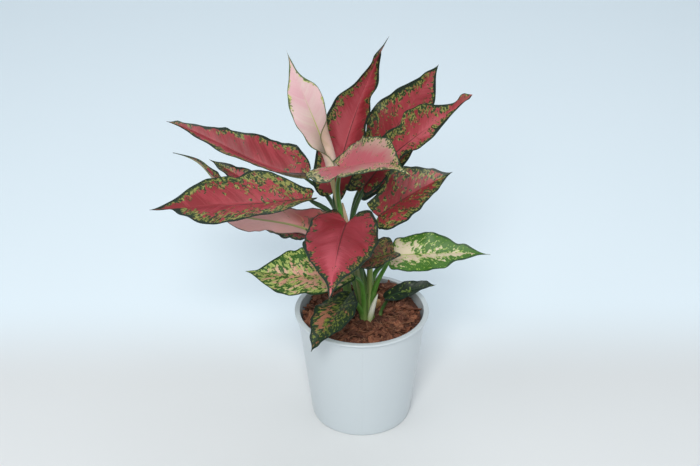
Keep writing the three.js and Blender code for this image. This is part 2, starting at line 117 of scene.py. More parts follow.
@dataclass
class MeshDraft:
    """Vertices and faces of one piece, in millimetres, before it becomes an object."""

    name: str
    points: list[np.ndarray] = field(default_factory=list)
    grain: list[np.ndarray] = field(default_factory=list)
    zone: list[np.ndarray] = field(default_factory=list)
    spot: list[np.ndarray] = field(default_factory=list)
    faces: list[tuple[int, ...]] = field(default_factory=list)
    looks: list[int] = field(default_factory=list)
    creases: list[tuple[int, int]] = field(default_factory=list)
    count: int = 0

    def add_points(self, points: np.ndarray, grain: np.ndarray | None = None,
                   zone: np.ndarray | None = None, spot: np.ndarray | None = None) -> int:
        """Adds vertices.

        Args:
            points: Rows of X, Y and Z in millimetres.
            grain: Rows of the coordinates that the surface's grain follows.
            zone: Rows of what the finish varies with.
            spot: Rows of where on the piece each point lies.

        Returns:
            The number of the first vertex added.
        """
        start = self.count
        self.points.append(points)
        self.grain.append(points if grain is None else grain)
        self.zone.append(np.zeros_like(points) if zone is None else zone)
        self.spot.append(np.zeros_like(points) if spot is None else spot)
        self.count += len(points)
        return start

    def add_face(self, corners: tuple[int, ...], look: int = 0) -> None:
        """Adds one face that wears the finish of that number."""
        self.faces.append(corners)
        self.looks.append(look)

    def add_skin(self, starts: Sequence[int], count: int, look: int = 0) -> None:
        """Joins rings of vertices into one closed skin.

        Args:
            starts: The first vertex of each ring.
            count: How many vertices a ring has.
            look: The number of the finish.
        """
        for low, high in zip(starts, starts[1:]):
            for side in range(count):
                after = (side + 1) % count
                self.add_face((low + side, low + after, high + after, high + side), look)
        self.add_face(tuple(starts[0] + side for side in reversed(range(count))), look)
        self.add_face(tuple(starts[-1] + side for side in range(count)), look)

    def add_tube(self, path: np.ndarray, radii: np.ndarray, sides: int, toward: Sequence[float],
                 look: int = 0, section: Section | None = None) -> None:
        """Adds a closed tube along a path.

        Args:
            path: Rows of points along the middle.
            radii: The radius at each point.
            sides: How many sides the tube has.
            toward: A direction; the tube's first side turns to it at the path's far end.
            look: The number of the finish.
            section: Scales the radius, from the share of the path and the angle round it.
        """
        ahead = unit(np.gradient(path, axis=0))
        normal = np.array(toward, float)
        normals = np.zeros_like(path)
        for step in reversed(range(len(path))):
            normal = unit(normal - ahead[step] * (normal @ ahead[step]))
            normals[step] = normal
        across = np.cross(ahead, normals)
        angles = np.linspace(0, 2 * math.pi, sides, endpoint=False)
        cos, sin = np.cos(angles), np.sin(angles)
        travelled = np.concatenate([[0], np.cumsum(np.linalg.norm(np.diff(path, axis=0), axis=1))])
        starts = []
        for step, radius in enumerate(radii):
            share = np.full(sides, step / (len(path) - 1))
            scale = section(share, angles) if section else np.ones(sides)
            ring = path[step] + radius * scale[:, None] * (
                cos[:, None] * normals[step] + sin[:, None] * across[step])
            grain = columns(travelled[step], cos * radius, sin * radius)
            starts.append(self.add_points(ring, grain, columns(share, 0.0, 0.0)))
        self.add_skin(starts, sides, look)

    def to_object(self, finishes: Sequence[bpy.types.Material],
                  smooth_faces: bool = True) -> bpy.types.Object:
        """Makes the Blender object.

        Args:
            finishes: The materials, in the order of the faces' numbers.
            smooth_faces: Whether the faces are shaded as one rounded surface.

        Returns:
            The object, linked to the scene.
        """
        mesh = bpy.data.meshes.new(self.name)
        mesh.from_pydata((np.concatenate(self.points) * MM).tolist(), [], self.faces)
        for name, rows in (("grain", self.grain), ("zone", self.zone), ("spot", self.spot)):
            layer = mesh.attributes.new(name, "FLOAT_VECTOR", "POINT")
            layer.data.foreach_set("vector", np.concatenate(rows).astype(np.float32).ravel())
        mesh.polygons.foreach_set("material_index", self.looks)
        mesh.polygons.foreach_set("use_smooth", [smooth_faces] * len(self.faces))
        if self.creases:
            wanted = {tuple(sorted(pair)) for pair in self.creases}
            flags = [tuple(sorted(edge.vertices)) in wanted for edge in mesh.edges]
            mesh.edges.foreach_set("use_edge_sharp", flags)
        for finish in finishes:
            mesh.materials.append(finish)
        mesh.validate()
        mesh.update()
        piece = bpy.data.objects.new(self.name, mesh)
        bpy.context.scene.collection.objects.link(piece)
        return piece


def settle(piece: bpy.types.Object, slot: str, *nodes: str) -> None:
    """Puts a finished piece on the plant's one body.

    Args:
        piece: The piece.
        slot: The name of the record's material slot for the piece; not used.
        nodes: The plain solids that it stands for.
    """
    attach(piece, "root")
    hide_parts(*nodes)
    LOG.info("%s: %d faces", piece.name, len(piece.data.polygons))


# ---------------------------------------------------------------- materials


class Wire:
    """What flows out of a node; what is done with it lays out further nodes."""

    def __init__(self, sketch: "NodeSketch", socket: bpy.types.NodeSocket) -> None:
        """Holds one outgoing socket of a sketch."""
        self.sketch = sketch
        self.socket = socket

    def __add__(self, other: "Feed") -> "Wire":
        """This and the other added."""
        return self.sketch.math("ADD", self, other)

    def __sub__(self, other: "Feed") -> "Wire":
        """This less the other."""
        return self.sketch.math("SUBTRACT", self, other)

    def __rsub__(self, other: float) -> "Wire":
        """The other less this."""
        return self.sketch.math("SUBTRACT", other, self)

    def __mul__(self, other: "Feed") -> "Wire":
        """This times the other."""
        return self.sketch.math("MULTIPLY", self, other)

    def __truediv__(self, other: "Feed") -> "Wire":
        """This divided by the other."""
        return self.sketch.math("DIVIDE", self, other)

    def split(self) -> tuple["Wire", ...]:
        """The three parts of this vector."""
        first = self.sketch.node("ShaderNodeSeparateXYZ", {0: self})
        return tuple(Wire(self.sketch, socket) for socket in first.socket.node.outputs)

    def scaled(self, scale: Point = (1, 1, 1), shift: float = 0.0) -> "Wire":
        """This vector times a plain one, moved along all three axes by a shift of its own."""
        feeds = {0: self, 1: scale, 2: (shift, shift * 0.7, shift * 1.3)}
        return self.sketch.node("ShaderNodeVectorMath", feeds, operation="MULTIPLY_ADD")

    def noise(self, scale: float, detail: float = 2.0, roughness: float = 0.5,
              distortion: float = 0.0) -> "Wire":
        """Smooth noise at this vector, 0 to 1 about 0.5.

        Args:
            scale: How many features there are to a unit of the vector.
            detail: How many finer layers are added.
            roughness: How strong the finer layers are.
            distortion: How far the noise is twisted.

        Returns:
            The noise.
        """
        feeds = {"Vector": self, "Scale": scale, "Detail": detail, "Roughness": roughness,
                 "Distortion": distortion}
        return self.sketch.node("ShaderNodeTexNoise", feeds, "Fac")

    def step(self, low: "Feed", high: "Feed") -> "Wire":
        """A soft step from 0, where this is low, to 1, where it is high."""
        feeds = {"Value": self, "From Min": low, "From Max": high}
        return self.sketch.node("ShaderNodeMapRange", feeds, "Result", interpolation_type="SMOOTHSTEP")


Feed = Wire | float | Sequence[float]


class NodeSketch:
    """Lays out the nodes of one material by plain calls."""

    first_colour, second_colour, mixed_colour = 6, 7, 2

    def __init__(self, name: str) -> None:
        """Starts an empty material.

        Args:
            name: The material's name.
        """
        self.material = bpy.data.materials.new(name)
        self.material.use_nodes = True
        self.tree = self.material.node_tree
        self.tree.nodes.clear()
        self.colour: Wire | Shade = (0, 0, 0)

    def feed(self, socket: bpy.types.NodeSocket, value: Feed) -> None:
        """Links a socket, or sets it where the value is plain.

        Args:
            socket: The incoming socket.
            value: What goes into it.
        """
        if isinstance(value, Wire):
            self.tree.links.new(value.socket, socket)
        else:
            socket.default_value = value

    def node(self, kind: str, feeds: dict[str | int, Feed], result: str | int = 0,
             **settings: object) -> Wire:
        """Adds a node and feeds its sockets.

        Args:
            kind: The node's type name.
            feeds: What goes into its sockets, by their names or numbers.
            result: The outgoing socket that is wanted.
            settings: The node's plain settings.

        Returns:
            What flows out of that socket.
        """
        made = self.tree.nodes.new(kind)
        for name, value in settings.items():
            setattr(made, name, value)
        for place, value in feeds.items():
            self.feed(made.inputs[place], value)
        return Wire(self, made.outputs[result])

    def attribute(self, name: str) -> Wire:
        """The vector that the mesh carries under that name."""
        return self.node("ShaderNodeAttribute", {}, "Vector", attribute_name=name)

    def math(self, operation: str, first: Feed, second: Feed = 0.0) -> Wire:
        """One sum, named as the Math node names it."""
        return self.node("ShaderNodeMath", {0: first, 1: second}, operation=operation)

    def mix(self, share: Feed, *colours: Wire | Shade) -> Wire:
        """Mixes two colours.

        Args:
            share: How much of the second one there is, 0 to 1.
            colours: The two colours.

        Returns:
            The mixed colour.
        """
        first, second = (colour if isinstance(colour, Wire) else tone(colour) for colour in colours)
        return self.node("ShaderNodeMix", {0: share, self.first_colour: first, self.second_colour: second},
                         self.mixed_colour, data_type="RGBA")

    def lay(self, share: Feed, colour: Wire | Shade) -> None:
        """Lays a colour over what is there: none of it at share 0 and all of it at share 1."""
        self.colour = self.mix(share, self.colour, colour)

    def bump(self, height: Wire, depth: float, strength: float = 1.0) -> Wire:
        """A bumped normal; depth is in millimetres."""
        return self.node("ShaderNodeBump", {"Height": height, "Distance": depth * MM, "Strength": strength})

    def finish(self, roughness: Feed, normal: Wire | None = None, **plain: float) -> bpy.types.Material:
        """Ends the material with a shader of the colour that is there.

        Args:
            roughness: The roughness.
            normal: The bumped normal.
            plain: Plain values of other sockets, with _ for the spaces of their names.

        Returns:
            The material.
        """
        feeds = {"Base Color": self.colour, "Roughness": roughness}
        if normal is not None:
            feeds["Normal"] = normal
        for name, value in plain.items():
            feeds[name.replace("_", " ")] = value
        out = self.tree.nodes.new("ShaderNodeOutputMaterial")
        self.feed(out.inputs["Surface"], self.node("ShaderNodeBsdfPrincipled", feeds))
        return self.material


@dataclass(frozen=True)
class LeafPaint:
    """The colours of one kind of leaf and how far its green reaches in from the edge."""

    deep: Shade
    middle: Shade
    light: Shade
    lime: Shade
    dark: Shade
    margin: Shade
    rib: Shade
    under: Shade
    slot: str
    lime_light: Shade = (146, 152, 82)
    lime_start: float = 0.37
    lime_rise: float = 0.27
    dark_start: float = 0.46
    dark_rise: float = 0.08
    dark_halo: float = -0.03
    reach: float = 4.5
    margin_width: float = 1.25
    roughness: float = 0.44
    coarse_scale: float = 0.3
    fine_scale: float = 0.62
    crispness: float = 0.03
    blend: Pair = (0.38, 0.52)
    tip: Shade = (140, 112, 88)
    tip_share: float = 0.3


class Variegation(Enum):
    """The kinds of leaf on the plant."""

    CRIMSON = LeafPaint(
        deep=(132, 40, 46), middle=(158, 58, 66), light=(184, 88, 96), lime=(108, 120, 54),
        dark=(24, 50, 28), margin=(26, 42, 30), rib=(66, 40, 36), under=(176, 126, 122),
        slot="leaf_crimson")
    HEART = LeafPaint(
        deep=(136, 40, 48), middle=(156, 56, 66), light=(190, 84, 96), lime=(108, 116, 48),
        dark=(30, 50, 32), margin=(28, 46, 34), rib=(92, 44, 44), under=(176, 126, 122),
        slot="leaf_crimson", lime_light=(136, 124, 72), lime_start=0.4, dark_start=0.42, reach=3.4,
        tip=(206, 152, 132), tip_share=0.95)
    PINK = LeafPaint(
        deep=(192, 98, 108), middle=(188, 128, 124), light=(192, 154, 140), lime=(158, 162, 92),
        dark=(42, 70, 38), margin=(44, 66, 44), rib=(176, 104, 104), under=(190, 160, 140),
        slot="leaf_pale", lime_light=(200, 188, 138), lime_start=0.38, dark_start=0.48, reach=4.2,
        margin_width=0.5, roughness=0.46)
    YOUNG = LeafPaint(
        deep=(208, 158, 166), middle=(210, 184, 180), light=(212, 200, 184), lime=(150, 162, 82),
        dark=(70, 92, 48), margin=(82, 98, 58), rib=(166, 182, 84), under=(212, 190, 170),
        slot="leaf_pale", lime_light=(190, 196, 120), lime_start=0.46, lime_rise=0.3, dark_start=0.56,
        reach=1.4, margin_width=0.6, roughness=0.5, blend=(0.22, 0.62), tip=(190, 150, 110))
    CREAM = LeafPaint(
        deep=(204, 178, 154), middle=(212, 198, 170), light=(216, 208, 180), lime=(124, 158, 50),
        dark=(56, 106, 26), margin=(36, 72, 26), rib=(168, 178, 108), under=(170, 176, 130),
        slot="leaf_cream", lime_light=(172, 200, 96), lime_start=0.39, lime_rise=0.1, dark_start=0.385,
        dark_rise=0.03, dark_halo=0.02, reach=4.5, margin_width=1.1, coarse_scale=0.24, fine_scale=0.5,
        crispness=0.02)
    SPECKLED = LeafPaint(
        deep=(204, 150, 130), middle=(212, 178, 150), light=(216, 200, 166), lime=(134, 162, 72),
        dark=(40, 88, 32), margin=(30, 60, 30), rib=(150, 160, 90), under=(170, 176, 130),
        slot="leaf_cream", lime_light=(178, 198, 114), lime_start=0.405, lime_rise=0.1, dark_start=0.48,
        dark_rise=0.04, reach=5.0, margin_width=1.1, coarse_scale=0.22, fine_scale=0.42, crispness=0.02)
    SHADED = LeafPaint(
        deep=(100, 56, 42), middle=(126, 76, 58), light=(156, 98, 76), lime=(96, 104, 44),
        dark=(28, 46, 28), margin=(32, 46, 32), rib=(60, 72, 40), under=(130, 126, 84),
        slot="leaf_shaded", lime_light=(130, 128, 60), lime_start=0.4, lime_rise=0.12, dark_start=0.44,
        reach=4.0, margin_width=1.0)
    OLIVE = LeafPaint(
        deep=(134, 82, 60), middle=(150, 98, 76), light=(166, 112, 90), lime=(84, 102, 38),
        dark=(18, 44, 26), margin=(20, 40, 28), rib=(50, 66, 36), under=(130, 126, 84),
        slot="leaf_shaded", lime_light=(112, 132, 50), lime_start=0.385, lime_rise=0.08, dark_start=0.4,
        dark_halo=-0.02, reach=4.0, margin_width=1.2, roughness=0.6, coarse_scale=0.2, fine_scale=0.42)
    GREEN = LeafPaint(
        deep=(20, 36, 24), middle=(24, 42, 26), light=(32, 52, 30), lime=(104, 126, 50),
        dark=(28, 46, 32), margin=(26, 42, 34), rib=(52, 80, 50), under=(96, 122, 88),
        slot="leaf_green", lime_light=(122, 142, 66), lime_start=0.57, lime_rise=0.0, dark_start=0.62)
    TURNED = LeafPaint(
        deep=(130, 34, 42), middle=(156, 52, 60), light=(182, 80, 86), lime=(150, 158, 80),
        dark=(40, 62, 46), margin=(44, 56, 44), rib=(110, 136, 74), under=(206, 150, 146),
        slot="leaf_underside")


# ---------------------------------------------------------------- leaves


@dataclass(frozen=True)
class CanePlan:
    """A cane: where it stands, its radius and the height of its top."""

    foot: Pair
    radius: float
    top: float


class Cane(Enum):
    """The canes that stand in the soil."""

    FRONT = CanePlan((2.4, 0.4), 4.2, 90)
    MIDDLE = CanePlan((6.8, 4.4), 4.2, 90)
    BACK = CanePlan((-9, 13), 4.2, 90)
    SMALL = CanePlan((14.6, 8.4), 2.4, 84)


class StalkTone(Enum):
    """The colours that petioles come in, from the blade's end to the foot."""

    DEEP = ((46, 74, 42), (62, 96, 48), (120, 150, 84))
    MID = ((66, 110, 44), (84, 136, 52), (150, 178, 104))
    STRIPED = ((112, 138, 66), (146, 168, 90), (186, 202, 140))
    PALE = ((190, 174, 126), (96, 122, 62), (74, 108, 50))
    DRIED = ((186, 156, 128), (124, 132, 82), (84, 120, 54))


@dataclass(frozen=True)
class StalkPlan:
    """A petiole: its radius at the blade, its angle to the blade and the point it bends at."""

    radius: float
    angle: float
    bend: Point


@dataclass(frozen=True)
class Fleck:
    """A patch of a blade that is greener than the rest, or redder where amount is negative."""

    along: float
    across: float
    amount: float
    spread: Pair = (0.2, 0.4)


@dataclass(frozen=True)
class Swell:
    """Where one side of a blade swells by some millimetres, or shrinks; side is -1 left, 1 right."""

    along: float
    side: int
    amount: float
    spread: float


@dataclass(frozen=True)
class Roll:
    """How one side of a young blade still rolls in: it bends from start millimetres out."""

    side: int
    start: float
    radius: float
    fade: Pair


def spots(*rows: tuple[float, float, float, Pair]) -> tuple[Fleck, ...]:
    """Patches from rows of along, across, amount and spread."""
    return tuple(Fleck(*row) for row in rows)


def spans(*rows: tuple[float, int, float, float]) -> tuple[Swell, ...]:
    """Swells from rows of along, side, amount and spread."""
    return tuple(Swell(*row) for row in rows)


@dataclass(frozen=True)
class LeafPlan:
    """The measured shape and the colouring of one leaf, in the terms of the part's source."""

    name: str
    cane: Cane
    midrib: tuple[Point, Point, Point, Point]
    half: Pair
    fold: Pair
    stalk: StalkPlan
    face: tuple[Point, Point] = ((0, -5, 10), (0, -5, 10))
    fold_tip: Pair = (0, 0)
    lobe: float = 0.1
    taper: float = 1.9
    belly: float = 1.8
    kind: Variegation = Variegation.CRIMSON
    flecks: tuple[Fleck, ...] = ()
    blush: tuple[Fleck, ...] = ()
    swells: tuple[Swell, ...] = ()
    lifts: tuple[Swell, ...] = ()
    green: float = 0.0
    rolls: tuple[Roll, ...] = ()
    stalk_tone: StalkTone = StalkTone.DEEP


LEAVES: tuple[LeafPlan, ...] = (
    LeafPlan(
        name="blade_left_upper", cane=Cane.BACK,
        midrib=((-42, 20, 201), (-76, 24, 209), (-112, 31, 226), (-148, 39, 239)),
        half=(20, 21), face=((0, -4, 10), (0, -5, 10)), fold=(58, 18), fold_tip=(-30, 0), belly=1.6,
        stalk=StalkPlan(1.7, 35, (-14, 18, 150)), green=-0.45,
        flecks=spots((0.1, -0.2, 1.2, (0.18, 0.7)), (0.3, 0.9, 0.7, (0.3, 0.3)),
                     (0.5, -0.9, 1.0, (0.3, 0.4))),
        blush=spots((0.35, -0.3, 0.3, (0.35, 0.4)), (0.5, 0.3, -0.3, (0.6, 0.6)),
                    (0.4, -0.9, 0.8, (0.6, 0.4))),
        swells=spans((0.62, 1, -3.5, 0.13), (0.54, 1, 2, 0.025), (0.15, 1, 4.5, 0.07),
                     (0.44, 1, -2.4, 0.07), (0.23, 1, 3.5, 0.05), (0.03, 1, -2.5, 0.03),
                     (0.9, 1, 1.5, 0.04), (0.7, -1, 3, 0.06), (0.15, -1, -3, 0.08)),
    ),
    LeafPlan(
        name="blade_left_narrow", cane=Cane.BACK,
        midrib=((-67, 26, 173), (-106, 34, 184), (-121, 43, 197), (-146, 50, 207)),
        half=(8, 8), face=((2, 3, 8), (2, 3, 8)), fold=(20, 20), lobe=0.05,
        stalk=StalkPlan(1.3, 35, (-14, 13, 156)), green=0.3,
    ),
    LeafPlan(
        name="blade_left_back", cane=Cane.BACK,
        midrib=((-62, 18, 178), (-80, 23, 189), (-98, 30, 199), (-117, 38, 207)),
        half=(14, 9), face=((0, -3, 10), (0, -3, 10)), fold=(30, 30), lobe=0.05,
        stalk=StalkPlan(1.3, 40, (-12, 14, 162)),
        flecks=spots((1.0, 0.0, 1.6, (0.2, 1.0))),
        swells=spans((0.75, -1, 5, 0.12)),
    ),
    LeafPlan(
        name="blade_left_front", cane=Cane.FRONT,
        midrib=((-38, -12, 200), (-74, -20, 200), (-115, -18, 196), (-160, -4, 186)),
        half=(22, 25), fold=(40, 14), fold_tip=(-40, -6), taper=1.7, belly=2,
        stalk=StalkPlan(1.9, 35, (-4, 5, 160)),
        flecks=spots((0.25, 0.8, 0.8, (0.25, 0.45)), (0.6, 0.9, 0.9, (0.2, 0.3)),
                     (0.4, -0.6, 0.9, (0.4, 0.4)), (0.15, 0.2, 0.75, (0.22, 0.6)),
                     (0.7, 0.1, -0.5, (0.2, 0.35))),
        blush=spots((0.85, 0.0, -0.6, (0.25, 1.0))),
        swells=spans((0.61, 1, 5, 0.1), (0.4, 1, -4, 0.05), (0.26, 1, 5, 0.055), (0.11, 1, -8, 0.08),
                     (0.82, -1, -6, 0.08), (0.67, -1, -3, 0.06), (0.27, -1, -3, 0.1), (0.13, -1, -5, 0.06),
                     (0.035, -1, -5, 0.035), (0.02, 1, -3, 0.03)),
    ),
    LeafPlan(
        name="blade_left_turned", cane=Cane.FRONT,
        midrib=((-41, -2, 168), (-62, 0, 173), (-88, 2, 176), (-117, 4, 181)),
        half=(20, 22), face=((0, 9, 4), (0, 9, 4)), fold=(10, 10), lobe=0.3, taper=1.5, belly=3.5,
        stalk=StalkPlan(1.5, 10, (-4, 8, 160)), kind=Variegation.TURNED,
        flecks=spots((0.06, -0.7, 1.4, (0.15, 0.7)), (0.6, 0.5, -0.6, (0.5, 0.6))),
        blush=spots((0.08, -0.7, 1.1, (0.22, 0.8))),
        swells=spans((0.1, -1, 13, 0.09), (0.15, 1, -4, 0.1)),
    ),
    LeafPlan(
        name="blade_left_low", cane=Cane.BACK,
        midrib=((-39, 24, 147), (-51, 24, 149), (-65, 24, 153), (-83, 24, 159)),
        half=(12, 15), face=((0, -3, 10), (0, -3, 10)), fold=(20, 20),
        stalk=StalkPlan(1.4, 30, (-9, 13, 117)), green=0.5,
        swells=spans((0.76, -1, 6, 0.12), (0.15, -1, -5, 0.08)),
    ),
    LeafPlan(
        name="blade_front_heart", cane=Cane.FRONT,
        midrib=((-12, -30, 189), (-17, -61, 190), (-21, -92, 187), (-25, -109, 171)),
        half=(28, 26), face=((0, 0, 10), (0, -4, 10)), fold=(6, 6), fold_tip=(14, 14), lobe=0.3, taper=2.3,
        belly=1.9, stalk=StalkPlan(1.9, 40, (-2, 6, 150)), kind=Variegation.HEART,
        flecks=spots((0.1, -0.8, 0.5, (0.25, 0.25)), (0.45, -0.9, 0.6, (0.3, 0.25)),
                     (0.7, -0.7, 0.6, (0.2, 0.4)), (0.6, 0.9, 0.6, (0.3, 0.25)),
                     (0.95, 0.0, -0.8, (0.12, 1.0))),
        blush=spots((0.62, 0.1, 1.0, (0.25, 0.4)), (1.0, 0.0, 1.4, (0.12, 1.0))),
        swells=spans((0.57, 1, 1, 0.1), (0.76, 1, -1.5, 0.08), (0.1, 1, -2, 0.05), (0.71, -1, -2, 0.08),
                     (0.53, -1, 1.6, 0.12), (0.11, -1, -4, 0.08), (0.02, -1, -5, 0.025),
                     (0.055, -1, -2.6, 0.03), (0.93, -1, 0.5, 0.06), (0.93, 1, 0.5, 0.06)),
        lifts=spans((-0.2, -1, 6, 0.12), (-0.2, 1, -5, 0.12)),
    ),
    LeafPlan(
        name="blade_young_pale", cane=Cane.FRONT,
        midrib=((-25, -4, 220), (-31.5, -7, 250), (-42.5, -6, 280), (-55, 14, 307)),
        half=(16, 18.5), face=((-2, -10, 3), (3, -10, 3)), fold=(72, -12), fold_tip=(-92, 40), lobe=0.03,
        taper=2.3, belly=2.2, stalk=StalkPlan(1.9, 10, (-6, -4, 150)), kind=Variegation.YOUNG,
        stalk_tone=StalkTone.PALE,
        blush=spots((0.72, -0.5, -0.5, (0.35, 0.8)), (0.15, 0.0, 0.7, (0.4, 1.0))),
        swells=spans((0.62, -1, 1.5, 0.08), (0.3, -1, -2.2, 0.12), (0.06, -1, 5, 0.06), (0.44, 1, -4, 0.12),
                     (0.75, 1, -2.5, 0.1), (0.08, 1, 5, 0.09)),
        rolls=(Roll(-1, 2, 4.4, (0.1, 0.4)), Roll(1, 3, 3.6, (0.27, 0.7))),
    ),
    LeafPlan(
        name="blade_tall_crimson", cane=Cane.MIDDLE,
        midrib=((-21, 12, 191), (-11, 17, 234), (3, 17, 278), (19, 8, 320)),
        half=(23, 18), face=((-1, -10, 3), (-3, -10, 3)), fold=(5, 45), fold_tip=(75, -10), taper=3,
        belly=2.3, stalk=StalkPlan(1.9, 15, (7, 5, 139)), green=-0.1,
        flecks=spots((0.35, -0.8, 0.7, (0.3, 0.3)), (0.3, 0.2, -0.6, (0.4, 0.5))),
        blush=spots((0.45, -0.1, 0.9, (0.4, 0.4)), (0.5, 0.9, -0.6, (0.7, 0.5))),
        swells=spans((0.84, -1, 6, 0.07), (0.49, -1, 4.5, 0.06), (0.87, 1, -3, 0.05), (0.66, 1, 3.5, 0.07),
                     (0.52, 1, -4, 0.05), (0.4, 1, -2, 0.05)),
    ),
    LeafPlan(
        name="blade_front_arched", cane=Cane.FRONT,
        midrib=((-17, -27, 234), (-4, -49, 246), (13, -74, 261), (31, -96, 261)),
        half=(19, 28), face=((0, -2, 10), (-2, -3, 9)), fold=(44, -2), fold_tip=(18, 20), lobe=0.28,
        taper=1.6, belly=1.6, stalk=StalkPlan(1.7, 40, (-4, 2, 150)), kind=Variegation.PINK,
        stalk_tone=StalkTone.MID,
        flecks=spots((0.45, 0.95, 1.4, (0.5, 0.22)), (1.0, 0.0, 1.6, (0.16, 1.0)),
                     (0.75, 0.3, 0.8, (0.2, 0.5)), (0.1, 0.8, 0.6, (0.1, 0.4))),
        blush=spots((0.2, -0.1, -0.9, (0.25, 0.5)), (0.55, -0.8, 0.7, (0.3, 0.3))),
        swells=spans((0.08, -1, -10.5, 0.08), (0.24, -1, 2.5, 0.05), (0.34, -1, -2.8, 0.04),
                     (0.6, -1, 3.4, 0.13), (0.83, -1, -4, 0.08), (0.8, 1, -2, 0.06), (0.24, 1, 3, 0.05),
                     (0.47, 1, 2, 0.05), (0.33, 1, -4, 0.05), (0.08, 1, 4, 0.05)),
    ),
    LeafPlan(
        name="blade_right_top", cane=Cane.MIDDLE,
        midrib=((-3, 27, 185), (16, 35, 217), (36, 40, 249), (57, 38, 285)),
        half=(22, 25), face=((-3, -10, 5), (-3, -10, 5)), fold=(15, 25), fold_tip=(0, -12), belly=2.2,
        stalk=StalkPlan(1.8, 20, (-9, 6, 138)), green=0.4,
        flecks=spots((0.15, -0.7, 1.0, (0.2, 0.4)), (0.7, -0.9, 0.5, (0.4, 0.3)),
                     (0.8, 0.3, -0.6, (0.2, 0.4))),
        blush=spots((0.2, -0.4, -1.0, (0.35, 0.9)), (0.7, 0.1, 0.2, (0.3, 0.3))),
        swells=spans((0.88, -1, 2, 0.06), (0.5, -1, 1.6, 0.1), (0.28, -1, -3.5, 0.08),
                     (0.78, 1, 4.5, 0.14)),
    ),
    LeafPlan(
        name="blade_right_upper", cane=Cane.MIDDLE,
        midrib=((1, 11, 196), (24, 10, 225), (49, 2, 251), (79, -3, 279)),
        half=(24, 13), face=((-3, -10, 6), (-2, -10, 6)), fold=(15, 12), fold_tip=(0, 20), taper=2.2,
        belly=2, stalk=StalkPlan(1.8, 20, (-17, 2, 140)), green=0.05,
        flecks=spots((0.3, -0.75, 1.1, (0.35, 0.4)), (0.95, 0.0, -1.4, (0.12, 1.0))),
        blush=spots((0.65, 0.2, 0.9, (0.3, 0.5)), (0.1, 0.0, -0.5, (0.15, 1.0))),
        swells=spans((0.65, -1, 3.5, 0.07), (0.42, -1, -5.5, 0.06), (0.3, -1, -8, 0.1), (0.32, 1, -7, 0.1),
                     (0.94, -1, 4.6, 0.06), (0.97, 1, 1.6, 0.03)),
    ),
    LeafPlan(
        name="blade_right_middle", cane=Cane.MIDDLE,
        midrib=((11, -18, 187), (27, -19, 200), (45, -17, 211), (66, -12, 221)),
        half=(22, 23), face=((-2, -6, 6), (-2, -6, 8)), fold=(15, 25), lobe=0.08, taper=1.7,
        stalk=StalkPlan(1.8, 30, (7, 5, 134)), green=0.6, stalk_tone=StalkTone.STRIPED,
        blush=spots((0.4, 0.0, -0.5, (0.5, 1.0))),
        swells=spans((0.8, -1, 2, 0.05), (0.5, -1, 2, 0.06), (0.18, -1, -4, 0.1), (0.5, 1, -4, 0.2),
                     (0.03, -1, 3, 0.03), (0.03, 1, 3, 0.03)),
    ),
    LeafPlan(
        name="blade_right_cream", cane=Cane.MIDDLE,
        midrib=((24, 5, 140), (46, 2, 143), (72, 0, 145), (99, 0, 143)),
        half=(17, 20), fold=(24, 15), lobe=0.12, taper=3, belly=2.4, stalk=StalkPlan(1.7, 35, (2, 4, 126)),
        kind=Variegation.CREAM, green=0.05, stalk_tone=StalkTone.MID,
        flecks=spots((0.55, -0.7, 0.8, (0.35, 0.45)), (0.4, 0.85, 0.7, (0.4, 0.3)),
                     (0.12, -0.3, -1.1, (0.12, 0.5)), (0.55, 0.2, -0.8, (0.5, 0.2))),
        swells=spans((0.57, -1, -3.5, 0.08), (0.38, -1, -2, 0.08), (0.06, -1, -5, 0.04),
                     (0.56, 1, -3.2, 0.08), (0.1, 1, 3, 0.06)),
    ),
    LeafPlan(
        name="blade_right_shaded", cane=Cane.MIDDLE,
        midrib=((24, -15, 155), (12, -24, 156), (0, -33, 157), (-12, -42, 157)),
        half=(13, 15), fold=(20, 30), stalk=StalkPlan(1.5, 85, (7, 5, 118)), kind=Variegation.SHADED,
        stalk_tone=StalkTone.MID,
        swells=spans((0.5, 1, -9, 0.2), (0.85, 1, -4, 0.1), (0.7, -1, 5, 0.12), (0.22, -1, -4, 0.1),
                     (0.06, 1, 3, 0.06)),
    ),
    LeafPlan(
        name="blade_front_cream", cane=Cane.FRONT,
        midrib=((-9, -18, 138), (-34, -22, 138), (-60, -22, 140), (-89, -14, 138)),
        half=(23, 22), fold=(20, 10), stalk=StalkPlan(1.6, 30, (0, -1, 109)), kind=Variegation.SPECKLED,
        green=0.2, stalk_tone=StalkTone.MID,
        flecks=spots((0.5, 0.9, 1.2, (0.4, 0.25)), (0.35, -0.4, -0.3, (0.2, 0.4))),
        blush=spots((0.2, 0.0, -0.8, (0.35, 0.8))),
        swells=spans((0.55, 1, 3, 0.08), (0.85, 1, -1.5, 0.06), (0.66, -1, 6, 0.22), (0.15, -1, -4, 0.12)),
    ),
    LeafPlan(
        name="blade_front_hanging", cane=Cane.FRONT,
        midrib=((-9, -14, 119), (-17, -40, 123), (-28, -62, 120), (-39, -74, 104)),
        half=(19, 16), face=((-2, 0, 10), (-4, -6, 8)), fold=(15, 10), lobe=0.02,
        stalk=StalkPlan(1.5, 45, (0, -1, 97)), kind=Variegation.OLIVE, stalk_tone=StalkTone.MID,
        flecks=spots((0.1, 0.2, 1.0, (0.25, 1.0)), (0.45, -0.7, 0.7, (0.4, 0.4)),
                     (0.55, 0.4, -0.5, (0.3, 0.3))),
        swells=spans((0.5, 1, -1, 0.06), (0.82, 1, 2, 0.08), (0.15, 1, -4, 0.08), (0.62, 1, 2, 0.08),
                     (0.58, -1, 4, 0.18), (0.13, -1, -8.5, 0.13), (0.87, -1, 2, 0.06)),
    ),
    LeafPlan(
        name="blade_rim_small", cane=Cane.SMALL,
        midrib=((18, 6, 100), (30, 2, 108), (44, 0, 113), (58, 2, 115)),
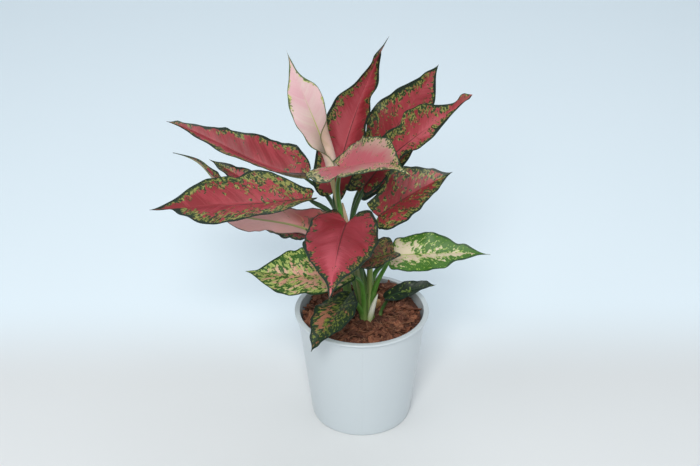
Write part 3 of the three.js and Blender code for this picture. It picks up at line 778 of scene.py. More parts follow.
        half=(8, 7), fold=(30, 10), lobe=0.06, stalk=StalkPlan(1.3, 30, (15, 9, 90)),
        kind=Variegation.GREEN,
        swells=spans((0.18, -1, -1.6, 0.16), (0.67, -1, 1, 0.06), (0.78, -1, 1.8, 0.08),
                     (0.05, 1, -2, 0.08), (0.6, 1, -2.6, 0.1), (0.77, 1, -1.5, 0.1)),
    ),
)


@dataclass
class BladeShape:
    """The surface of one blade, by the same rule as the part's solids with finer relief."""

    plan: LeafPlan
    seed: int
    sweep: float = 0.1
    vein_curve: float = 1.15
    veins: int = 9
    quilt: float = 0.3
    bow: float = 0.035
    lobe_span: float = 0.3
    lobe_ease: float = 0.6
    calm_half: float = 14.0
    uneven: tuple[Pair, Pair] = ((0.035, 3.3), (0.02, 7.1))
    uneven_lag: float = 2.1
    ripples: tuple[tuple[float, ...], ...] = ((1.5, 2, 2.5, 1), (0.5, 2, 5.3, 1), (0.25, 3, 11, -1))
    ripple_lag: float = 1.3
    swell_ease: float = 30
    behind_base: float = 3
    nudge: Point = (0.006, 0.2, 0.4)
    length_steps: int = 60

    def __post_init__(self) -> None:
        """Works out the midrib's curve and length, and what the seed makes uneven."""
        self.curve = through(self.plan.midrib)
        steps = bezier(self.curve, np.linspace(0, 1, self.length_steps))
        self.length = float(np.linalg.norm(np.diff(steps, axis=0), axis=1).sum())
        self.phases = np.random.default_rng(self.seed).uniform(0, 2 * math.pi, 4)

    def midrib(self, share: np.ndarray) -> tuple[np.ndarray, np.ndarray]:
        """Points of the midrib, which runs on straight behind the base.

        Args:
            share: Shares of the length.

        Returns:
            The points and the directions there.
        """
        inside = np.clip(share, 0, 1)
        a, b, c, d = self.curve
        t = inside[:, None]
        ahead = unit((1 - t) ** 2 * (b - a) + 2 * (1 - t) * t * (c - b) + t**2 * (d - c))
        behind = self.behind_base * np.minimum(share, 0)[:, None] * (b - a)
        return bezier(self.curve, inside) + behind, ahead

    def upward(self, share: np.ndarray, ahead: np.ndarray) -> np.ndarray:
        """The directions that the upper face turns to.

        Args:
            share: Shares of the length.
            ahead: The midrib's directions there.

        Returns:
            One direction for each share.
        """
        start, end = (unit(np.array(face, float)) for face in self.plan.face)
        up = start + np.clip(share, 0, 1)[:, None] * (end - start)
        return unit(up - ahead * np.sum(up * ahead, axis=1, keepdims=True))

    def bumps(self, swells: Sequence[Swell], share: np.ndarray, is_right: np.ndarray) -> np.ndarray:
        """Adds up what some swells do along one side or the other.

        Args:
            swells: The swells.
            share: Shares of the length.
            is_right: Which points lie right of the midrib.

        Returns:
            The sum at each point.
        """
        total = np.zeros_like(share)
        for swell in swells:
            near = np.exp(-(((share - swell.along) / swell.spread) ** 2))
            total += np.where(is_right == (swell.side > 0), swell.amount, 0.0) * near
        return total

    def edge(self, share: np.ndarray, is_right: np.ndarray) -> tuple[np.ndarray, np.ndarray]:
        """Where the side veins end.

        Args:
            share: The shares of the midrib that the veins start from.
            is_right: Which of them run to the right.

        Returns:
            The shares that their ends lie at, and how many millimetres out.
        """
        plan = self.plan
        widest = 0.5 / (0.5 + plan.taper * plan.belly)
        peak = math.sqrt(widest ** (1 / plan.belly)) * (1 - widest) ** plan.taper
        width = np.sqrt(share) * np.maximum(1 - share**plan.belly, 0) ** plan.taper / peak
        lag = by_side(is_right, (self.uneven_lag, 0.0))
        turn = 2 * math.pi * share
        (wide, slow), (fine, quick) = self.uneven
        half = by_side(is_right, plan.half) * width * (
            1 + wide * np.sin(slow * turn + self.phases[2] + lag)
            + fine * np.sin(quick * turn + self.phases[3] - lag))
        fade = np.minimum(1, self.swell_ease * np.minimum(share, 1 - share))
        half += self.bumps(plan.swells, share, is_right) * fade
        behind = plan.lobe * np.sin(math.pi * np.minimum(share / self.lobe_span, 1) ** self.lobe_ease)
        return share + self.sweep * np.sin(math.pi * share) - behind, np.maximum(half, 0)

    def rolled(self, share: np.ndarray, out: np.ndarray,
               is_right: np.ndarray) -> tuple[np.ndarray, np.ndarray]:
        """Rolls the sides in where the plan says so.

        Args:
            share: Shares of the length.
            out: Millimetres from the midrib.
            is_right: Which points lie right of it.

        Returns:
            How far sideways and how far up each point comes to lie.
        """
        sideways, height = out, np.zeros_like(out)
        for roll in self.plan.rolls:
            fade = np.clip((share - roll.fade[0]) / (roll.fade[1] - roll.fade[0]), 0, 1)
            bend = np.maximum((1 - smooth(fade)) / roll.radius, 1e-4)
            curls = (is_right == (roll.side > 0)) & (out > roll.start)
            turned = np.where(curls, (out - roll.start) * bend, 0)
            sideways = np.where(curls, roll.start + np.sin(turned) / bend, sideways)
            height = np.where(curls, (1 - np.cos(turned)) / bend, height)
        return sideways, height

    def place(self, share: np.ndarray, across: np.ndarray, relief: np.ndarray | float = 0.0) -> np.ndarray:
        """Points of the upper face.

        Args:
            share: Shares of the length.
            across: Millimetres to the right of the midrib.
            relief: Millimetres that the points are raised by.

        Returns:
            One point for each share.
        """
        plan = self.plan
        point, ahead = self.midrib(share)
        up = self.upward(share, ahead)
        right = np.cross(ahead, up)
        is_right, out = across > 0, np.abs(across)
        half = by_side(is_right, plan.half)
        to_edge = out / half
        fold = by_side(is_right, plan.fold) + by_side(is_right, plan.fold_tip) * np.clip(share, 0, 1)
        cos, sin = np.cos(np.radians(fold)), np.sin(np.radians(fold))
        lag = by_side(is_right, (self.ripple_lag, 0.0))
        ripple = np.zeros_like(out)
        for (depth, power, waves, way), phase in zip(self.ripples, (0.0, *self.phases[:2])):
            ripple += depth * to_edge**power * np.sin(waves * 2 * math.pi * share + phase + way * lag)
        ripple *= min(1.0, max(plan.half) / self.calm_half)
        ripple += to_edge**2 * self.bumps(plan.lifts, share, is_right)
        sideways, height = self.rolled(share, out, is_right)
        height = height + self.bow * half * np.sin(math.pi * np.clip(to_edge, 0, 1))
        point = point + right * (np.sign(across) * (sideways * cos - height * sin))[:, None]
        return point + up * (sideways * sin + height * cos + ripple + relief)[:, None]

    def normal(self, share: np.ndarray, across: np.ndarray) -> np.ndarray:
        """The directions square to the upper face.

        Args:
            share: Shares of the length.
            across: Millimetres to the right of the midrib.

        Returns:
            One direction for each point.
        """
        ahead, near, far = self.nudge
        along = self.place(share + ahead, across) - self.place(share - ahead, across)
        aside = np.where(np.abs(across) < far, far, near)
        return unit(np.cross(self.place(share, across + aside) - self.place(share, across - aside), along))


@dataclass
class LeafBlade:
    """One blade: a thin closed sheet with veins, a midrib and its colours."""

    plan: LeafPlan
    seed: int
    rows: int = 60
    side_columns: int = 15
    row_spread: float = 1.25
    column_spread: float = 0.9
    thickness: float = 0.5
    edge_thinning: float = 0.35
    rib_height: float = 1.3
    rib_width: float = 1.2
    rib_ease: float = 0.8
    channel_depth: float = 0.5
    rim_offset: float = 1.5
    ridge: Pair = (0.7, 0.6)
    ridge_ease: float = 0.8
    calm_half: float = 8
    vein_lean: Pair = (-0.5, 1.05)
    lean_share: Pair = (-0.12, 0.28)
    lean_growth: Pair = (0.75, 0.45)
    vein_stagger: float = 1.2
    right_grain: float = 60.0
    upper_shift: float = 31.7
    under_shift: float = 17.3
    fine_shift: float = 133.0

    def __post_init__(self) -> None:
        """Looks up the leaf's colours and works out its surface."""
        self.paint: LeafPaint = self.plan.kind.value
        self.shape = BladeShape(self.plan, self.seed)

    def patches(self, flecks: Sequence[Fleck], vein: np.ndarray, reach: np.ndarray) -> np.ndarray:
        """Adds up soft patches over the blade.

        Args:
            flecks: The patches.
            vein: The share of the midrib that each point's vein starts from.
            reach: How far out along the vein each point is, -1 left to 1 right.

        Returns:
            The patches' amount at each point.
        """
        total = np.zeros_like(vein)
        for fleck in flecks:
            wide, tall = fleck.spread
            far = ((vein - fleck.along) / wide) ** 2 + ((reach - fleck.across) / tall) ** 2
            total += fleck.amount * np.exp(-far)
        return total

    def sample(self, vein: np.ndarray, reach: np.ndarray) -> tuple[np.ndarray, ...]:
        """Everything about the blade at some points.

        Args:
            vein: The share of the midrib that each point's vein starts from.
            reach: How far out along the vein each point is, -1 left to 1 right.

        Returns:
            The upper points, the lower points, and their grain, zone and spot.
        """
        plan, shape = self.plan, self.shape
        outward, is_right = np.abs(reach), reach > 0
        edge_share, half = shape.edge(vein, is_right)
        share = vein + (edge_share - vein) * outward**shape.vein_curve
        across = half * reach
        out = np.abs(across)

        low, high = self.lean_share
        flat, steep = self.vein_lean
        lean = flat + (steep - flat) * smooth(np.clip((share - low) / (high - low), 0, 1))
        first, growth = self.lean_growth
        origin = share * shape.length - lean * out * (first + growth * out / by_side(is_right, plan.half))
        turn = math.pi * shape.veins * origin / shape.length + by_side(is_right, (self.vein_stagger, 0.0))
        sharpness, sunk = self.ridge
        ridges = np.abs(np.sin(turn)) ** sharpness - sunk
        fade = np.sin(math.pi * outward**self.ridge_ease) * np.minimum(half / self.calm_half, 1)
        middle = np.exp(-((across / self.rib_width) ** 2))
        relief = shape.quilt * ridges * fade - self.channel_depth * middle * (1 - vein)
        top = shape.place(share, across, relief)
        rib = self.rib_height * (1 - vein) ** self.rib_ease * middle
        thin = self.thickness * (1 - self.edge_thinning * outward)
        under = top - shape.normal(share, across) * (thin + rib)[:, None]

        side = by_side(is_right, (self.vein_stagger * shape.length / (math.pi * shape.veins), 0.0))
        grain = columns(origin + side, out, by_side(is_right, (0.0, self.right_grain)))
        green = plan.green + self.patches(plan.flecks, vein, reach)
        zone = columns((1 - outward) * (half + self.rim_offset), green, self.patches(plan.blush, vein, reach))
        return top, under, grain, zone, columns(vein, share * shape.length, across)

    def mesh(self) -> MeshDraft:
        """Builds the blade's closed sheet.

        Returns:
            The draft; finish 0 is the upper face and 1 the underside.
        """
        draft = MeshDraft(self.plan.name.replace("blade_", "leaf_"))
        wide = 2 * self.side_columns + 1
        reach = np.linspace(-1, 1, wide)
        reach = np.sign(reach) * np.abs(reach) ** self.column_spread
        vein = (np.arange(1, self.rows) / self.rows) ** self.row_spread
        veins = np.concatenate([[0.0], np.repeat(vein, wide), [1.0]])
        reaches = np.concatenate([[0.0], np.tile(reach, self.rows - 1), [0.0]])
        upper, under, *marks = self.sample(veins, reaches)
        top, low = draft.add_points(upper, *marks), draft.add_points(under, *marks)
        grid = 1 + np.arange((self.rows - 1) * wide).reshape(self.rows - 1, wide)
        last = len(veins) - 1

        def both(*corners: int) -> None:
            """Adds the same face to the upper side and, turned over, to the underside."""
            draft.add_face(tuple(int(top + corner) for corner in corners), 0)
            draft.add_face(tuple(int(low + corner) for corner in reversed(corners)), 1)

        for column in range(wide - 1):
            both(0, grid[0, column + 1], grid[0, column])
            both(last, grid[-1, column], grid[-1, column + 1])
            for near, far in zip(grid, grid[1:]):
                both(near[column], near[column + 1], far[column + 1], far[column])
        loop = [0, *grid[:, -1].tolist(), last, *grid[::-1, 0].tolist()]
        for start, after in zip(loop, loop[1:] + loop[:1]):
            draft.add_face((top + start, low + start, low + after, top + after), 0)
            draft.creases += [(top + start, top + after), (low + start, low + after)]
        return draft

    def vein_lines(self, sketch: NodeSketch, origin: Wire, start: float) -> Wire:
        """Where the side veins run: 1 on a vein, and 0 from start, a share of their spacing, off it."""
        phase = sketch.math("FRACT", origin / (self.shape.length / self.shape.veins))
        return sketch.math("ABSOLUTE", phase - 0.5).step(start, 0.5)

    def upper_finish(self) -> bpy.types.Material:
        """The upper face: a coloured field, side veins, lime and dark flecks and a dark edge.

        Returns:
            The material.
        """
        paint, sketch = self.paint, NodeSketch(f"{self.plan.name}_upper")
        raw = sketch.attribute("grain")
        shifted = raw.scaled(shift=self.seed * self.upper_shift)
        rim, green, blush = sketch.attribute("zone").split()
        grain_x, grain_y, _ = raw.split()
        along, flat_x, flat_y = sketch.attribute("spot").split()

        # The field: slow drifts of colour, streaks along the veins and a fine mottle.
        broad = shifted.scaled((1, 0.5, 1)).noise(0.06, 3, 0.55)
        streaks = shifted.scaled((1, 0.14, 1)).noise(0.5, 4, 0.62)
        mottle = shifted.noise(1.6, 3, 0.65)
        tint = broad * 0.55 + streaks * 0.3 + mottle * 0.15 + blush * 0.3
        sketch.colour = sketch.mix(tint.step(*paint.blend), paint.deep, paint.middle)
        sketch.lay(tint.step(0.52, 0.74), paint.light)
        sketch.lay(along.step(0.86, 0.98) * paint.tip_share, paint.tip)

        # The side veins, and the midrib, which narrows and fades towards the tip.
        sketch.lay(self.vein_lines(sketch, grain_x, 0.45) * 0.16, paint.light)
        rib_width = (1.05 - along) * 0.85
        rib = 1.0 - grain_y.step(rib_width * 0.45, rib_width)
        rib *= 1.0 - along.step(0.4, 0.75)
        sketch.lay(rib * 0.85, paint.rib)

        # The flecks: a pattern that rises above a level, which is lowest near the edge.
        leaning = grain_x * 0.4 + flat_x * 0.6
        flat = sketch.node("ShaderNodeCombineXYZ", {0: leaning, 1: flat_y})
        pattern = flat.scaled((1, 0.9, 1), self.seed * self.upper_shift)
        wander = (pattern.noise(0.11, 2) - 0.5) * 14.0
        rim_here = sketch.math("MAXIMUM", rim + wander, 0.0)
        inward = 1.0 - sketch.math("POWER", math.e, rim_here / -paint.reach)
        coarse = pattern.noise(paint.coarse_scale, 3, 0.6, 0.4)
        fine = pattern.scaled(shift=self.fine_shift).noise(paint.fine_scale, 3, 0.6, 0.3)
        zones = coarse * 0.72 + fine * 0.28
        shift = green * 0.12
        level = inward * paint.lime_rise + paint.lime_start - shift
        dark_level = inward * paint.dark_rise + paint.dark_start - shift * 0.25

        def above(height: Wire, floor: Wire, start: float = 0.0) -> Wire:
            """Where a pattern lies above a level: 1 there and 0 elsewhere, with a crisp rim."""
            return height.step(floor + start, floor + (start + paint.crispness))

        dark = above(zones, level, paint.dark_halo) * above(fine, dark_level)
        yellowed = sketch.mix(streaks.step(0.35, 0.65), paint.lime, paint.lime_light)
        sketch.lay(above(zones, level, -0.035) * 0.3, yellowed)
        sketch.lay(above(zones, level) * 0.9, yellowed)
        sketch.lay(dark * 0.95, paint.dark)

        # The dark line along the edge, of uneven width.
        uneven = sketch.math("MAXIMUM", pattern.noise(0.5, 2) + (broad - 0.42) * 5.0, 0.3)
        edge_line = 1.0 - (rim - uneven * paint.margin_width).step(0.0, 0.35)
        sketch.lay(edge_line, paint.margin)
        skin = sketch.bump(mottle * 0.5 + streaks * 0.8, 0.18, 0.6)
        roughness = mottle * 0.12 + (paint.roughness - 0.06)
        return sketch.finish(roughness, skin, Specular_IOR_Level=0.32)

    def under_finish(self) -> bpy.types.Material:
        """The underside: a paler, matt skin with its green veins and edge.

        Returns:
            The material.
        """
        paint, sketch = self.paint, NodeSketch(f"{self.plan.name}_under")
        raw = sketch.attribute("grain")
        shifted = raw.scaled(shift=self.seed * self.under_shift)
        rim, green, blush = sketch.attribute("zone").split()
        grain_x, grain_y, _ = raw.split()
        greenish = tuple((a + b) // 2 for a, b in zip(paint.under, paint.lime))
        broad = shifted.scaled((1, 0.2, 1)).noise(0.14, 3, 0.6)
        shown = broad + green * 0.35 - blush * 0.35
        sketch.colour = sketch.mix(shown.step(0.4, 0.75), paint.under, greenish)
        sketch.lay(blush.step(0.2, 0.85) * 0.85, paint.deep)
        specks = shifted.scaled((1, 0.4, 1)).noise(0.5, 3, 0.6)
        level = 0.72 - green * 0.24
        sketch.lay(specks.step(level, level + 0.05) * 0.8, paint.dark)
        sketch.lay(self.vein_lines(sketch, grain_x, 0.42) * 0.25, greenish)
        rib = 1.0 - grain_y.step(0.7, 1.3)
        sketch.lay(rib * 0.8, (128, 148, 84))
        edge_line = 1.0 - rim.step(0.6, 1.5)
        sketch.lay(edge_line * 0.8, paint.margin)
        skin = sketch.bump(shifted.noise(2.4, 3, 0.6), 0.15, 0.5)
        return sketch.finish(0.55, skin, Specular_IOR_Level=0.4)

    def build(self) -> None:
        """Makes the blade and dresses it."""
        piece = self.mesh().to_object([self.upper_finish(), self.under_finish()])
        settle(piece, self.paint.slot, self.plan.name)


# ---------------------------------------------------------------- stems


@dataclass(frozen=True)
class StalkFinish:
    """The skin of a petiole: fresh green with paler stripes that run along it."""

    tones: StalkTone
    roughness: float = 0.4
    stripe: float = 0.55
    mottle: Shade = (52, 78, 44)

    def material(self) -> bpy.types.Material:
        """Dresses the skin.

        Returns:
            The material.
        """
        top, middle, foot = self.tones.value
        sketch = NodeSketch(f"petiole_{self.tones.name.lower()}")
        grain = sketch.attribute("grain")
        share, _, _ = sketch.attribute("zone").split()
        place = share + (grain.scaled((0.3, 1, 1)).noise(0.2, 2) - 0.5) * 0.3
        sketch.colour = sketch.mix(place.step(0.05, 0.35), foot, middle)
        sketch.lay(place.step(0.4, 0.95), top)
        lines = grain.scaled((0.05, 1, 1)).noise(1.1, 3, 0.6)
        sketch.lay(lines.step(0.52, 0.68) * self.stripe, foot)
        mottles = grain.scaled((0.5, 1, 1), 9.0).noise(0.7, 3, 0.6)
        sketch.lay(mottles.step(0.62, 0.7) * 0.45, self.mottle)
        return sketch.finish(self.roughness, sketch.bump(lines, 0.15, 0.6),
                             Specular_IOR_Level=0.5, Coat_Weight=0.08, Coat_Roughness=0.25)


@dataclass
class Shoot:
    """A cane with the petioles that grow from it."""

    cane: Cane
    plans: Sequence[LeafPlan]
    root: float = 66.0
    start: float = 80.0
    sheath_radius: float = 3.0
    small_sheath_radius: float = 1.8
    gap: float = 1.2
    tuck: float = 2.0
    lead: float = 0.3
    steps: int = 48
    sides: int = 14
    cane_steps: int = 14
    cane_sides: int = 24
    cane_skin: float = 0.96
    cane_rings: Pair = (0.03, 1.1)
    cane_taper: Pair = (0.55, 0.45)
    cane_tone: StalkTone = StalkTone.STRIPED
    seat_start: float = 0.9
    seat_taper: float = 0.45
    seat_share: float = 0.35
    sheath_end: float = 0.45
    groove: tuple[float, float, float] = (0.14, 0.3, 0.5)
    wings: tuple[float, float, float] = (0.2, 1.1, 0.4)
    spear_tone: StalkTone = StalkTone.DRIED
    spear_radius: Pair = (2.5, 0.9)
    spear_tip: Pair = (1.03, 0.16)
    spear_spiral: Pair = (0.16, 0.6)
    spear_path: tuple[Point, ...] = ((2, 0, 80), (-1, -3, 120), (-9, -6, 160), (-15, -8, 193))

    @property
    def looks(self) -> dict[StalkTone, int]:
        """The number that the finish of each tone has on the piece."""
        return {skin: number for number, skin in enumerate(StalkTone)}

    def petiole(self, plan: LeafPlan) -> tuple[np.ndarray, np.ndarray, np.ndarray]:
        """The path of a petiole.

        Args:
            plan: The leaf that it carries.

        Returns:
            Points from foot to blade, radii there, and the blade's upward direction.
        """
        shape, stalk = BladeShape(plan, 0), plan.stalk
        base, ahead = shape.midrib(np.zeros(1))
        up = shape.upward(np.zeros(1), ahead)[0]
        base, ahead = base[0], ahead[0]
        end = base - up * (self.gap + stalk.radius) + ahead * self.tuck
        foot = np.array([*plan.cane.value.foot, self.start])
        angle = math.radians(stalk.angle)
        arrival = ahead * math.cos(angle) + up * math.sin(angle)
        pull = end - arrival * self.lead * np.linalg.norm(end - foot)
        share = np.linspace(0, 1, self.steps)
        path = bezier((foot, np.array(stalk.bend, float), pull, end), share)
        wide = self.small_sheath_radius if plan.cane is Cane.SMALL else self.sheath_radius
        radii = stalk.radius + (wide - stalk.radius) * (1 - share) ** 2
        seat = np.clip((share - self.seat_start) / (1 - self.seat_start), 0, 1)
        path = path + up * (seat**2 * (self.gap + stalk.radius * self.seat_share))[:, None]
        return path, radii * (1 - self.seat_taper * seat), up

    def channel(self, share: np.ndarray, angles: np.ndarray) -> np.ndarray:
        """The section of a petiole: a groove above, widening into the open sheath.

        Args:
            share: The share of the path.
            angles: The angles round it.

        Returns:
            The scale of the radius.
        """
        around = from_seam(angles)
        sheath = np.clip(1 - share / self.sheath_end, 0, 1)
        depth, deepening, width = self.groove
        groove = (depth + deepening * sheath) * np.exp(-((around / width) ** 2))
        height, middle, width = self.wings
        wings = height * sheath * np.exp(-(((around - middle) / width) ** 2))
        return 1 - groove + wings

    def build(self) -> None:
        """Makes the cane, its petioles and, on the front cane, the spear."""
        plan, name = self.cane.value, self.cane.name.lower()
        draft = MeshDraft(f"stems_{name}")
        heights = np.linspace(self.root, plan.top, self.cane_steps)
        rise = (heights - self.root) / (plan.top - self.root)
        depth, pace = self.cane_rings
        start, taper = self.cane_taper
        swell = 1 + depth * np.cos((heights - self.root) * pace)
        swell -= taper * np.clip((rise - start) / (1 - start), 0, 1) ** 2
        draft.add_tube(columns(*plan.foot, heights), plan.radius * swell * self.cane_skin, self.cane_sides,
                       (1, 0, 0), self.looks[self.cane_tone])
        for leaf in self.plans:
            path, radii, up = self.petiole(leaf)
            draft.add_tube(path, radii, self.sides, up, self.looks[leaf.stalk_tone], self.channel)
        if self.cane is Cane.FRONT:
            self.add_spear(draft)
        finishes = [StalkFinish(tones).material() for tones in StalkTone]
        settle(draft.to_object(finishes), "petiole_green", f"shoot_{name}")

    def add_spear(self, draft: MeshDraft) -> None:
        """Adds the newest leaf, still rolled, whose tip has dried pale.

        Args:
            draft: The piece that it goes into.
        """
        share = np.linspace(0, 1, self.steps)
        wide, taper = self.spear_radius
        end, rounding = self.spear_tip
        radii = (wide - taper * share**2) * np.sqrt(np.clip((end - share) / rounding, 0, 1))

        def rolled(shares: np.ndarray, angles: np.ndarray) -> np.ndarray:
            """A rolled leaf's section: a spiral step that runs round the spear."""
            depth, turns = self.spear_spiral
            return 1 - depth * ((angles / (2 * math.pi) + turns * shares) % 1.0)

        path = bezier([np.array(point, float) for point in self.spear_path], share)
        draft.add_tube(path, radii, self.sides, (0, 1, 0), self.looks[self.spear_tone], rolled)


@dataclass
class SmallStalks:
    """The pale bud scale and the cut stub of an old cane."""

    scale_path: tuple[Point, ...] = ((5.5, -3.5, 79), (6, -3.5, 88), (8.2, -3, 98), (12.4, -1.5, 109))
    scale_steps: int = 26
    stub_path: tuple[Point, ...] = ((12, 18, 72), (12, 18, 78), (12.5, 18, 84), (13, 18, 91))
    stub_steps: int = 20
    stub_radius: float = 2.6

    def build_scale(self) -> None:
        """Makes the bud scale, a thin pointed boat of pale tissue."""
        sketch = NodeSketch("bud_scale_skin")
        share, _, _ = sketch.attribute("zone").split()
        lines = sketch.attribute("grain").scaled((0.06, 1, 1)).noise(1.4, 3, 0.6)
        sketch.colour = sketch.mix(share.step(0.2, 0.7), (176, 196, 128), (222, 222, 206))
        sketch.lay(lines.step(0.5, 0.7) * 0.5, (150, 176, 108))
        skin = sketch.finish(0.5, sketch.bump(lines, 0.12, 0.6))
        rise = np.linspace(0, 1, self.scale_steps)
        radii = (1.7 + 1.3 * np.sin(math.pi * np.clip(rise * 1.1 - 0.15, 0, 1))) * np.sqrt(1.01 - rise**3)

        def boat(shares: np.ndarray, angles: np.ndarray) -> np.ndarray:
            """A section that is hollowed along one side."""
            return 1 - 0.45 * np.exp(-((from_seam(angles) / 0.7) ** 2)) * np.minimum(1, 4 * shares)

        draft = MeshDraft("bud_scale_skin")
        draft.add_tube(bezier(through(self.scale_path), rise), radii, 16, (-1, 0, 0), 0, boat)
        settle(draft.to_object([skin]), "sheath_pale", "bud_scale")

    def build_stub(self) -> None:
        """Makes the dry stub with its ringed bark and rough cut."""
        sketch = NodeSketch("cane_stub_wood")
        fibre = sketch.attribute("grain").scaled((0.15, 1, 1)).noise(1.2, 4, 0.65)
        sketch.colour = sketch.mix(fibre.step(0.35, 0.7), (150, 104, 60), (208, 168, 116))
        wood = sketch.finish(0.8, sketch.bump(fibre, 0.3))
        rise = np.linspace(0, 1, self.stub_steps)
        radii = self.stub_radius * (0.96 + 0.04 * np.sin(rise * 24))
        radii[-1] *= 0.82
        draft = MeshDraft("cane_stub_wood")
        draft.add_tube(bezier(through(self.stub_path), rise), radii, 18, (1, 0, 0))
        settle(draft.to_object([wood]), "cane_tan", "cane_stub")


# ---------------------------------------------------------------- pot


@dataclass
class NurseryPot:
    """The thin white pot, turned about its axis, with its mould seams and drain holes."""

    height: float = 94.6
    rim_radius: float = 52.6
    rim_band: float = 1.8
    mouth_radius: float = 48.4
    body_top: float = 50.4
    base_radius: float = 39.1
    wall: float = 1.8
    floor: float = 2.0
    foot_radius: float = 37.0
    foot_round: float = 1.4
    groove: Pair = (20.0, 30.0)
    groove_depth: float = 1.5
    band_round: float = 0.45
    lip_round: float = 0.6
    drain_radius: float = 3.0
    drain_count: int = 6
    drain_reach: Pair = (-2.0, 6.0)
    seam_height: float = 0.18
    seam_width: float = 0.9
    seam_angles: Pair = (0.5 * math.pi, 1.5 * math.pi)
    seam_places: range = range(11, 24)
    segments: int = 180
    crease: float = 35

    def inside(self, height: float) -> float:
        """The inside radius of the wall at a height."""
        share = height / (self.height - self.rim_band)
        return self.base_radius + (self.body_top - self.base_radius) * share - self.wall

    def corner(self, radius: float, height: float, turn: Pair, size: float) -> list[Pair]:
        """Four points of a rounded corner, from its middle, the degrees it turns through and its radius."""
        angles = np.radians(np.linspace(*turn, 4))
        return [(radius + size * math.cos(a), height + size * math.sin(a)) for a in angles]

    def profile(self) -> list[Pair]:
        """The outline from the middle of the underside, up the outside and down the inside.

        Returns:
            Radii and heights.
        """
        top, band, deep = self.height, self.height - self.rim_band, self.groove_depth
        inner, outer = self.groove
        outline: list[Pair] = [(inner, 0), (inner + 0.5, 0.15), (inner + 1, deep), (outer - 1, deep),
                               (outer - 0.5, 0.15), (outer, 0), (self.foot_radius, 0)]
        foot = self.foot_round
        outline += self.corner(self.base_radius - foot, foot, (-80, -8), foot)
        for share in np.linspace(0.04, 0.97, 12):
            outline.append((self.base_radius + (self.body_top - self.base_radius) * share, share * band))
        outline += [(self.body_top - 0.1, band - 0.5), (self.body_top + 0.25, band - 0.05)]
        bead, lip = self.band_round, self.lip_round
        outline += self.corner(self.rim_radius - bead, band + bead, (-90, 0), bead)
        outline += self.corner(self.rim_radius - lip, top - lip, (0, 90), lip)
        outline += self.corner(self.mouth_radius + lip, top - lip, (90, 180), lip)
        low = deep + self.floor
        outline += [(self.inside(height), height) for height in (top - 4, 60, 30, low + 2)]
        return outline + [(self.foot_radius - 3, low), (inner, low)]

    def plastic(self) -> bpy.types.Material:
        """Glossy white plastic with faint marks of use, specks of soil and a painted shadow line just under
        the rim.

        Returns:
            The material.
        """
        sketch = NodeSketch("pot_white_plastic")
        grain = sketch.attribute("grain")
        _, _, height = grain.split()
        cloud = grain.noise(0.05, 3, 0.5).step(0.3, 0.7)
        sketch.colour = sketch.mix(cloud, (198, 207, 211), (205, 213, 217))
        smear = grain.scaled((1, 1, 0.4), 5.0).noise(0.12, 4, 0.6)
        low = 1.0 - height.step(2.0, 30.0)
        dusty = smear.step(0.5, 0.75) * (low * 0.25 + 0.12)
        sketch.lay(dusty, (196, 196, 190))
        # A painted shadow: a dark line on the body just under the rim's band, where the rim shades it.
        band = self.height - self.rim_band
        above_line = height.step(band - 0.02, band + 0.12)
        painted_rim_shadow = height.step(band - 2.1, band - 1.6) * (1.0 - above_line)
        sketch.lay(painted_rim_shadow * (smear * 0.4 + 0.45), (112, 116, 122))
        specks = grain.scaled(shift=3.0).noise(0.9, 2, 0.5)
        sketch.lay(specks.step(0.77, 0.8) * 0.6, (120, 96, 80))
        return sketch.finish(smear * 0.14 + 0.24, sketch.bump(smear, 0.06, 0.4),
                             Specular_IOR_Level=0.5, Coat_Weight=0.2, Coat_Roughness=0.12)

    def build(self) -> None:
        """Turns the pot and cuts its drain holes."""
        angles = np.linspace(0, 2 * math.pi, self.segments, endpoint=False)
        seam = np.radians([-1.0, -0.5, 0.0, 0.5, 1.0])
        for middle in self.seam_angles:
            angles = np.concatenate([angles[~np.isclose(angles, middle)], middle + seam])
        angles = np.sort(angles)
        to_seam = np.minimum(*(np.abs(angles - middle) for middle in self.seam_angles))
        ridge = self.seam_height * np.clip(1 - to_seam / math.radians(self.seam_width), 0, 1)
        draft = MeshDraft("pot_shell")
        starts = []
        for place, (radius, height) in enumerate(self.profile()):
            outside = 0 < height < self.height - self.rim_band and place in self.seam_places
            radii = radius + ridge * outside
            starts.append(draft.add_points(columns(radii * np.cos(angles), radii * np.sin(angles), height)))
        draft.add_skin(starts, len(angles))
        piece = draft.to_object([self.plastic()])
        self.drill(piece)
        piece.data.polygons.foreach_set("use_smooth", [True] * len(piece.data.polygons))
        piece.data.set_sharp_from_angle(angle=math.radians(self.crease))
        settle(piece, "pot_plastic", "pot")

    def drill(self, piece: bpy.types.Object) -> None:
        """Cuts the drain holes through the pot's floor.

        Args:
            piece: The pot.
        """
        draft = MeshDraft("drill")
        out = sum(self.groove) / 2
        for hole in range(self.drain_count):
            angle = (hole + 0.5) / self.drain_count * 2 * math.pi
            path = columns(out * math.cos(angle), out * math.sin(angle), np.array(self.drain_reach))
            draft.add_tube(path, np.full(2, self.drain_radius), 24, (1, 0, 0))
        drill = draft.to_object([piece.data.materials[0]])
        cut = piece.modifiers.new("drain", "BOOLEAN")
        cut.operation = "DIFFERENCE"
        cut.solver = "EXACT"
        cut.object = drill
        bpy.context.view_layer.update()
        cut_piece = piece.evaluated_get(bpy.context.evaluated_depsgraph_get())
        cut_mesh = bpy.data.meshes.new_from_object(cut_piece)
        piece.modifiers.clear()
        piece.data = cut_mesh
        bpy.data.objects.remove(drill)


# ---------------------------------------------------------------- soil


